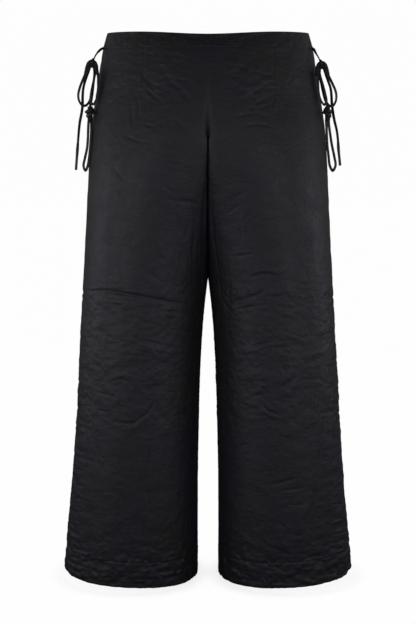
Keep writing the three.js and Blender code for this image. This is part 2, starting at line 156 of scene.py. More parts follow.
def tape_form(route, width, thickness, facing, turns, step=2.5, sides=12):
    """Points, faces, cloth directions and middle line of a flat tape with soft edges along the
    route, in millimetres."""
    line = smooth_line(route, step)
    along = np.gradient(line, axis=0)
    along /= np.linalg.norm(along, axis=1)[:, None]
    shares = np.linspace(0, 1, len(line))
    turn = np.radians(np.interp(shares, [t[0] for t in turns], [t[1] for t in turns]))
    face = np.array(facing, float) - (along @ np.array(facing, float))[:, None] * along
    face /= np.linalg.norm(face, axis=1)[:, None]
    side = np.cross(along, face)
    turned_face = np.cos(turn)[:, None] * face + np.sin(turn)[:, None] * side
    turned_side = np.cos(turn)[:, None] * side - np.sin(turn)[:, None] * face
    angle = np.linspace(0, 2 * math.pi, sides, endpoint=False)
    across = width / 2 * np.sign(np.cos(angle)) * np.abs(np.cos(angle)) ** 0.7
    out = thickness / 2 * np.sign(np.sin(angle)) * np.abs(np.sin(angle)) ** 0.7
    points = (line[:, None, :] + across[None, :, None] * turned_side[:, None, :]
              + out[None, :, None] * turned_face[:, None, :]).reshape(-1, 3)
    rings = len(line)
    faces = []
    for r in range(rings - 1):
        for k in range(sides):
            n = (k + 1) % sides
            faces.append((r * sides + k, r * sides + n, (r + 1) * sides + n, (r + 1) * sides + k))
    faces.append(tuple(range(sides - 1, -1, -1)))
    faces.append(tuple((rings - 1) * sides + k for k in range(sides)))
    run = np.concatenate([[0], np.cumsum(np.linalg.norm(np.diff(line, axis=0), axis=1))])
    uv = np.stack([np.broadcast_to(across[None, :], (rings, sides)),
                   np.broadcast_to(run[:, None], (rings, sides))], axis=-1).reshape(-1, 2)
    return points, faces, uv, line


def joined(tapes):
    """The points, faces and cloth directions of many tapes, as those of one mesh."""
    points, faces, uvs, count = [], [], [], 0
    for p, f, uv, _ in tapes:
        points.append(p)
        uvs.append(uv)
        faces += [tuple(i + count for i in face) for face in f]
        count += len(p)
    return np.vstack(points), faces, np.vstack(uvs)


def sewn_mesh(name, points, faces, uv, material):
    """A Blender object from points in millimetres, with its cloth directions kept as UVs in metres."""
    mesh = bpy.data.meshes.new(name)
    mesh.from_pydata((points * MM).tolist(), [], faces)
    layer = mesh.uv_layers.new(name="cloth")
    corner = np.empty(len(mesh.loops), dtype=np.int32)
    mesh.loops.foreach_get("vertex_index", corner)
    layer.data.foreach_set("uv", (uv[corner] * MM).astype(np.float32).ravel())
    mesh.shade_smooth()
    mesh.set_sharp_from_angle(angle=math.radians(SHARP_EDGE))
    mesh.materials.append(material)
    mesh.update()
    piece = bpy.data.objects.new(name, mesh)
    bpy.context.scene.collection.objects.link(piece)
    return piece


THREAD_GAP = 0.0004
THREAD_HEIGHT = 0.00003
CREASE_SHADE_REACH = 0.02
# Sockets of a Mix node by their place: two colours and their mix, two values and their mix.
COLOUR_A, COLOUR_B, MIXED_COLOUR = 6, 7, 2
VALUE_A, VALUE_B, MIXED_VALUE = 2, 3, 0


def add_node(tree, kind, sockets=None, **settings):
    """A new node in the tree, with its settings and the values of its sockets."""
    node = tree.nodes.new(kind)
    for name, value in settings.items():
        setattr(node, name, value)
    for socket, value in (sockets or {}).items():
        node.inputs[socket].default_value = value
    return node


def add_links(tree, *links):
    """Links in the tree, each from an output to an input."""
    for output, socket in links:
        tree.links.new(output, socket)


def cloth_group(name, gap, results):
    """A node group laid out by the cloth's own directions: the group, the place on the cloth in
    metres and counted in gaps, and the sockets of its results."""
    group = bpy.data.node_groups.new(name, "ShaderNodeTree")
    for socket, kind in (("Cloth Place", "NodeSocketVector"), (gap, "NodeSocketFloat")):
        group.interface.new_socket(name=socket, in_out="INPUT", socket_type=kind)
    for result in results:
        group.interface.new_socket(name=result, in_out="OUTPUT", socket_type="NodeSocketFloat")
    start, end = add_node(group, "NodeGroupInput"), add_node(group, "NodeGroupOutput")
    share = add_node(group, "ShaderNodeMath", {0: 1}, operation="DIVIDE")
    counted = add_node(group, "ShaderNodeVectorMath", operation="SCALE")
    add_links(group, (start.outputs[gap], share.inputs[1]),
              (start.outputs["Cloth Place"], counted.inputs[0]), (share.outputs[0], counted.inputs["Scale"]))
    return group, start.outputs["Cloth Place"], counted.outputs[0], end.inputs


def stretched_noise(tree, place, stretch, values, result):
    """Noise over the cloth with its own stretch across and down."""
    stretched = add_node(tree, "ShaderNodeVectorMath", {1: stretch}, operation="MULTIPLY")
    noise = add_node(tree, "ShaderNodeTexNoise", {"Scale": 1, **values})
    add_links(tree, (place, stretched.inputs[0]), (stretched.outputs[0], noise.inputs["Vector"]),
              (noise.outputs["Fac"], result))


def satin_weave_group():
    """Fine floats of a satin weave, slow changes in its lustre, and wide patches of its tint."""
    group, place, threads, results = cloth_group(
        "satin weave", "Thread Gap", ("Weave Height", "Lustre", "Patches"))
    stretched_noise(group, threads, (1, 0.16, 1), {"Detail": 1}, results["Weave Height"])
    stretched_noise(group, place, (45, 40, 1), {"Detail": 4, "Roughness": 0.6}, results["Lustre"])
    stretched_noise(group, place, (11, 7, 1), {"Detail": 3}, results["Patches"])
    return group


def crinkle_group():
    """Fine creases of worn satin."""
    group, _, creases, results = cloth_group("fine crinkle", "Spacing", ("Crinkle Height",))
    stretched_noise(group, creases, (0.9, 0.9, 1), {"Detail": 4, "Roughness": 0.55, "Distortion": 1.4},
                    results["Crinkle Height"])
    return group


SATIN_WEAVE = satin_weave_group()
FINE_CRINKLE = crinkle_group()


def satin_material(name, dark, light, cool, rough, crinkle_mm, spacing, specular, sheen):
    """Black satin: a near-black dye in cooler and warmer patches, with painted shade that darkens the
    dye in creases and where cloth lies close to cloth, a rougher gloss there, and a soft gloss that
    changes slowly elsewhere. Weave and crinkle are bump."""
    material = bpy.data.materials.new(name)
    material.use_nodes = True
    tree = material.node_tree
    cloth = tree.nodes["Principled BSDF"]
    for socket, value in (("Specular IOR Level", specular), ("Sheen Weight", sheen),
                          ("Sheen Roughness", 0.4), ("Sheen Tint", (0.8, 0.78, 1, 1))):
        cloth.inputs[socket].default_value = value
    place = add_node(tree, "ShaderNodeUVMap", uv_map="cloth")
    weave = add_node(tree, "ShaderNodeGroup", node_tree=SATIN_WEAVE)
    weave.inputs["Thread Gap"].default_value = THREAD_GAP
    crinkle = add_node(tree, "ShaderNodeGroup", node_tree=FINE_CRINKLE)
    crinkle.inputs["Spacing"].default_value = spacing
    dye = add_node(tree, "ShaderNodeMix", data_type="RGBA")
    dye.inputs[COLOUR_A].default_value = (*dark, 1)
    dye.inputs[COLOUR_B].default_value = (*light, 1)
    patch = add_node(tree, "ShaderNodeMapRange", {"From Min": 0.4, "From Max": 0.6})
    tint = add_node(tree, "ShaderNodeMix", data_type="RGBA")
    tint.inputs[COLOUR_B].default_value = (*cool, 1)
    # painted shade: ambient occlusion darkens the dye in creases and where cloth lies close to cloth, and makes the
    # gloss rougher there
    occlusion_shade = add_node(tree, "ShaderNodeAmbientOcclusion", {"Distance": CREASE_SHADE_REACH}, samples=6)
    open_share = add_node(tree, "ShaderNodeMapRange", {"From Min": 0.4, "From Max": 0.93, "To Min": 0.3})
    crease_shaded_dye = add_node(tree, "ShaderNodeVectorMath", operation="SCALE")
    gloss = add_node(tree, "ShaderNodeMapRange", {
        "From Min": 0.3, "From Max": 0.7, "To Min": rough[0], "To Max": rough[1]})
    dull = add_node(tree, "ShaderNodeMix", {VALUE_A: 0.95})
    creased = add_node(tree, "ShaderNodeBump", {"Strength": 1, "Distance": crinkle_mm * MM})
    woven = add_node(tree, "ShaderNodeBump", {"Strength": 0.5, "Distance": THREAD_HEIGHT})
    add_links(
        tree,
        (place.outputs["UV"], weave.inputs["Cloth Place"]),
        (place.outputs["UV"], crinkle.inputs["Cloth Place"]),
        (weave.outputs["Lustre"], dye.inputs["Factor"]),
        (weave.outputs["Patches"], patch.inputs["Value"]),
        (patch.outputs["Result"], tint.inputs["Factor"]),
        (dye.outputs[MIXED_COLOUR], tint.inputs[COLOUR_A]),
        (occlusion_shade.outputs["AO"], open_share.inputs["Value"]),
        (tint.outputs[MIXED_COLOUR], crease_shaded_dye.inputs[0]),
        (open_share.outputs["Result"], crease_shaded_dye.inputs["Scale"]),
        (crease_shaded_dye.outputs[0], cloth.inputs["Base Color"]),
        (weave.outputs["Lustre"], gloss.inputs["Value"]),
        (open_share.outputs["Result"], dull.inputs["Factor"]),
        (gloss.outputs["Result"], dull.inputs[VALUE_B]),
        (dull.outputs[MIXED_VALUE], cloth.inputs["Roughness"]),
        (crinkle.outputs["Crinkle Height"], creased.inputs["Height"]),
        (weave.outputs["Weave Height"], woven.inputs["Height"]),
        (creased.outputs["Normal"], woven.inputs["Normal"]),
        (woven.outputs["Normal"], cloth.inputs["Normal"]))
    return material


TIE_SATIN = satin_material(
    "tie satin", dark=(0.004, 0.004, 0.005), light=(0.01, 0.01, 0.012), cool=(0.008, 0.008, 0.01),
    rough=(0.42, 0.55), crinkle_mm=0.25, spacing=0.003, specular=0.3, sheen=0)


def satin_knot(name, strands, node):
    """A knot of tape: each strand is a closed form of its own in one object."""
    tapes = [tape_form(strand["route"], strand["width"], strand["thick"], strand["facing"], PLAIN,
                       step=1.2, sides=14) for strand in strands]
    piece = sewn_mesh(name, *joined(tapes), TIE_SATIN)
    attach(piece, "root")
    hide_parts(node)
    return piece


# Each knot's strands, from its own middle at its underside, x outward. The bow knot is
# two turns of tape that arch over into the loops, with the lead drawn over their top. The
# end knot is two crossed turns round a core, with a fold standing out at each side.
BOW_STRANDS = [
    dict(width=5.4, thick=2.4, facing=(0, -1, 0.2), route=[
        (12.4, -4.6, -15), (10.8, -4.2, -7), (9, -3.8, 0), (5.8, -3.6, 6.6), (0, -3.6, 9.8), (-5.4, -4, 7.2),
        (-8.4, -4.8, 1), (-9.2, -6.6, -6), (-10.8, -9, -15)]),
    dict(width=5.4, thick=3, facing=(0, -1, 0.2), route=[
        (9.2, 1.6, -13), (7.8, 1.4, -7), (5.6, 0.6, -1), (2.8, -0.6, 3), (0, -1, 4.4), (-2.8, -0.8, 3),
        (-4.8, -0.4, -0.6), (-5.6, -0.4, -6), (-5, -3.2, -12)]),
    dict(width=9, thick=4, facing=(0, -1, 0), route=[(0.6, 2, -2.6), (0.4, 2, 1), (0, 2, 5)]),
    dict(width=4.4, thick=2, facing=(0, -1, 0.2), route=[
        (-0.6, -4.4, 3.4), (-1, -6.2, 6.4), (-1.6, -6.2, 10.4), (-2.4, -3.4, 13), (-3, 0.4, 13.4)]),
]
END_STRANDS = [
    dict(width=9.6, thick=8, facing=(0, -1, 0), route=[(0.4, -1, -3), (0.5, 0, 5), (0, 0, 14), (0, 0, 22.6)]),
    dict(width=3.4, thick=6.6, facing=(0, 0, 1), route=[
        (-4.8, 3, 13.5), (-6.4, -0.5, 12.6), (-4.6, -4.2, 11.6), (0, -5.8, 9), (4.6, -4, 6.4), (6, 0.5, 5.4)]),
    dict(width=3.4, thick=6, facing=(0, 0, 1), route=[
        (-5.4, 1, 16.4), (-4, -3.8, 16.6), (0.8, -5.4, 15.6), (5.4, -3.6, 13.6), (6.8, 0.6, 12.4), (4, 4, 12)]),
    dict(width=5, thick=2.4, facing=(0, -1, 0.2), route=[(-3, -3.4, 10), (-7.4, -3.8, 11.6), (-10.4, -3.4, 10.6)]),
    dict(width=4.4, thick=2.4, facing=(0, -1, 0.2), route=[(3, -3.6, 11), (6.8, -3.6, 12.6), (9, -3, 12)]),
]
KNOT_PLACES = {
    "bow": {"right": (-209, -53, -60), "left": (205, -53, -62.5)},
    "end": {"right": (-214, -50, -154), "left": (217, -50, -154)},
}


def placed(strands, place, mirror):
    """The strands moved to their place, turned over for the wearer's right."""
    moved = []
    for strand in strands:
        route = [(place[0] + mirror * x, place[1] + y, place[2] + z) for x, y, z in strand["route"]]
        moved.append(dict(strand, route=route))
    return moved


for side, mirror in (("right", -1), ("left", 1)):
    bow = satin_knot(f"bow_knot_{side}", placed(BOW_STRANDS, KNOT_PLACES["bow"][side], mirror),
                     f"tie_bow_knot_{side}")
    end = satin_knot(f"end_knot_{side}", placed(END_STRANDS, KNOT_PLACES["end"][side], mirror),
                     f"tie_end_knot_{side}")
    for stretch, route in TIE_ROUTES[side].items():
        lie = TIE_LIES[stretch]
        facing = (mirror * 0.5, -0.87, 0)
        turns = [(share, mirror * degrees) for share, degrees in lie["turns"]]
        points, faces, uv, line = tape_form(route, lie["width"], TIE_THICKNESS, facing, turns)
        tape = sewn_mesh(f"{stretch[4:]}_{side}", points, faces, uv, TIE_SATIN)
        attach(tape, "root")
        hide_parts(f"{stretch}_{side}")


# ---------------------------------------------------------------------------
# Fronts and backs: four full-length panels of thin black satin, joined by a
# centre seam, inseams and side seams. Each front has one dart from the waist,
# and each hem is turned up 50 mm and sewn.
WAISTBAND_HEIGHT = 29
CROTCH_DEPTH = 265
HEM_DEPTH = 1028
HEM_TURN_UP = 50
SEAM_GAP = 0.3
LEG_GAP = 1.2
GAP_WIDENS_OVER = 12
FRONT_CURVE_TOP = 165
BACK_CURVE_TOP = 150
OVAL_POWER = 2.2
OVAL_POINTS = 700
HEM_TILT = 0.05
CLOTH = 1.3
HEM_CLOTH = 2.4

# Level sections of one half, in millimetres: height, reach to the side, reach to
# the middle, depth in front, depth behind, and how far forward the side seam is.
SECTIONS = np.array([
    (0, 186, -186, 131, 128, 36), (-29, 193, -193, 137, 136, 38),
    (-60, 198, -198, 142, 146, 37), (-105, 206, -206, 147, 155, 34),
    (-135, 211, -188, 148.5, 159, 30), (-160, 215, -163, 148.8, 161, 26),
    (-185, 218, -138, 148, 161, 20), (-222, 221, -103, 145.5, 158, 11),
    (-265, 223.6, -69, 140.8, 152, 2), (-315, 226.5, -40, 134.5, 143.5, 0),
    (-385, 231, -15, 127, 134, 0), (-455, 236, 1, 122.5, 127.5, 0),
    (-500, 239, 5.8, 120, 124, 0), (-555, 243, 10.5, 118, 121, 0),
    (-650, 249, 15.3, 115.5, 117, 0), (-730, 254, 17.4, 114, 115, 0),
    (-840, 263, 19.4, 112, 112.5, 0), (-985, 277.5, 19.7, 110.5, 110.5, 0),
    (-1028, 281, 19.7, 110, 110, 0),
])


def section_curve(column):
    """One column of the sections as a smooth function of height."""
    z, v = SECTIONS[:, 0], SECTIONS[:, column]
    rate = np.diff(v) / np.diff(z)
    slopes = np.zeros(len(v))
    same = rate[:-1] * rate[1:] > 0
    slopes[1:-1][same] = 2 * rate[:-1][same] * rate[1:][same] / (rate[:-1][same] + rate[1:][same])

    def at(level):
        i = int(np.clip(np.searchsorted(-z, -level, side="right") - 1, 0, len(z) - 2))
        span = z[i + 1] - z[i]
        t = float(np.clip((level - z[i]) / span, 0, 1))
        lean = span * t * (1 - t) * (slopes[i] * (1 - t) - slopes[i + 1] * t)
        return v[i] + (v[i + 1] - v[i]) * t * t * (3 - 2 * t) + lean
    return at


reach_out, reach_in, depth_front, depth_back, seam_forward = (section_curve(c) for c in range(1, 6))


def oval_bend(value):
    """A sine or cosine bent so that a circle of them becomes the legs' fuller oval."""
    return np.sign(value) * np.abs(value) ** (2 / OVAL_POWER)


def half_gap(level):
    """Half the gap between the left and the right half, which widens below the crotch."""
    open_share = min(max((-level - CROTCH_DEPTH) / GAP_WIDENS_OVER, 0), 1)
    return (SEAM_GAP + (LEG_GAP - SEAM_GAP) * open_share) / 2


def level_line(is_front, level):
    """x and y of a panel at one level, from its centre seam or inseam to the side seam, the run
    along it, the length of its flat between the two halves, and the middle of the leg."""
    depth = depth_front(level) if is_front else depth_back(level)
    middle = (reach_out(level) + reach_in(level)) / 2
    half = (reach_out(level) - reach_in(level)) / 2
    share = (middle - half_gap(level)) / half
    turn = 0.0
    if share < 1:
        turn = math.acos(math.copysign(abs(share) ** (OVAL_POWER / 2), share))
    seam_turn = math.asin((seam_forward(level) / depth_front(level)) ** (OVAL_POWER / 2))
    angles = np.linspace(turn if is_front else 2 * math.pi - turn, math.pi - seam_turn, OVAL_POINTS)
    x = middle - half * oval_bend(np.cos(angles))
    y = -depth * oval_bend(np.sin(angles))
    if not is_front:
        early = angles < math.pi
        y[early] = -depth_front(level) * oval_bend(np.sin(angles[early]))
    # the crotch curve: the centre seam leaves the cloth's front or back and runs in between the legs
    top = FRONT_CURVE_TOP if is_front else BACK_CURVE_TOP
    down = min(max((-level - top) / (CROTCH_DEPTH - top), 0), 1)
    curve = math.sqrt(1 - down * down)
    seam_y = y[0] * curve
    flat = abs(y[0] - seam_y)
    if flat > 1:
        flat_y = np.linspace(seam_y, y[0], max(3, int(flat / 1.5)))[:-1]
        x = np.concatenate([np.full(len(flat_y), x[0]), x])
        y = np.concatenate([flat_y, y])
    if level > -CROTCH_DEPTH:
        x[0] = 0
    run = np.concatenate([[0], np.cumsum(np.hypot(np.diff(x), np.diff(y)))])
    even = np.linspace(0, run[-1], int(run[-1]) + 1)
    return np.interp(even, run, x), np.interp(even, run, y), even, flat, middle


CORNER_REACH = 24
CORNER_SOFTNESS = 7.0
SHORTEST_FLAT = 4


def softened(line_x, line_y, run, flat):
    """Rounds the corner where the cloth turns from the flat into the leg."""
    if flat < SHORTEST_FLAT:
        return line_x, line_y
    kernel = np.exp(-(np.arange(-CORNER_REACH, CORNER_REACH + 1) / CORNER_SOFTNESS) ** 2)
    kernel /= kernel.sum()
    near = np.exp(-((run - flat) / 20) ** 2) * min(1, flat / 25)
    near *= np.clip(run / 10, 0, 1)
    soft = []
    for line in (line_x, line_y):
        padded = np.concatenate([2 * line[0] - line[CORNER_REACH:0:-1], line,
                                 2 * line[-1] - line[-2:-CORNER_REACH - 2:-1]])
        soft.append(line + near * (np.convolve(padded, kernel, "valid") - line))
    return soft


def graded(count, spots):
    """Shares from 0 to 1 that lie closer together near the given spots."""
    fine = np.linspace(0, 1, 4000)
    density = np.ones_like(fine)
    for spot, spread, gain in spots:
        density += gain * np.exp(-((fine - spot) / spread) ** 2)
    total = np.concatenate([[0], np.cumsum((density[1:] + density[:-1]) / 2)])
    return np.interp(np.linspace(0, total[-1], count + 1), total, fine)


# The panels' grids: columns over the flat beside the centre seam or inseam and over the rest, and
# rows, closer together at the ends, at the hem stitches and where the cloth leaves the flat.
GROOVE_COLUMNS = 24
LEG_COLUMNS = 136
GROOVE_REACH = 60
STEP = 4
ROW_SHARES = graded(496, [(0.95, 0.004, 3), (1, 0.002, 4), (0, 0.003, 3)])
LEG_SHARES = graded(LEG_COLUMNS, [(0.3, 0.02, 2.5), (1, 0.01, 2.5)])
TOP_LEVEL = -WAISTBAND_HEIGHT
LEVELS = TOP_LEVEL + ROW_SHARES * (-HEM_DEPTH - TOP_LEVEL)


def panel_grid(is_front):
    """The smooth cloth of a left panel: points, outward directions, and for each point its distance
    from the side seam, less than 0 in front of it, and from the centre seam or inseam."""
    points = np.zeros((len(LEVELS), GROOVE_COLUMNS + LEG_COLUMNS + 1, 3))
    outward = np.zeros_like(points)
    from_side = np.zeros(points.shape[:2])
    from_centre = np.zeros(points.shape[:2])
    for r, level in enumerate(LEVELS):
        x, y, run, flat, middle = level_line(is_front, level)
        x, y = softened(x, y, run, flat)
        groove = max(flat, GROOVE_REACH)
        places = np.concatenate([groove * np.arange(GROOVE_COLUMNS) / GROOVE_COLUMNS,
                                 groove + (run[-1] - groove) * LEG_SHARES])
        along_x, along_y = np.gradient(x), np.gradient(y)
        size = np.hypot(along_x, along_y)
        sign = 1 if is_front else -1
        out_x, out_y = sign * along_y / size, -sign * along_x / size
        share = min(max((-level - CROTCH_DEPTH) / (HEM_DEPTH - CROTCH_DEPTH), 0), 1)
        px = np.interp(places, run, x)
        points[r, :, 0] = px
        points[r, :, 1] = np.interp(places, run, y)
        points[r, :, 2] = level + HEM_TILT * share * (px - middle)
        outward[r, :, 0] = np.interp(places, run, out_x)
        outward[r, :, 1] = np.interp(places, run, out_y)
        if level > -CROTCH_DEPTH:
            straight = np.exp(-(places / 2) ** 2)
            outward[r, :, 0] *= 1 - straight
            outward[r, :, 1] = outward[r, :, 1] * (1 - straight) - sign * straight
        from_side[r] = (places - run[-1]) * sign
        from_centre[r] = places
    return points, outward, from_side, from_centre


GRIDS = {True: panel_grid(True), False: panel_grid(False)}

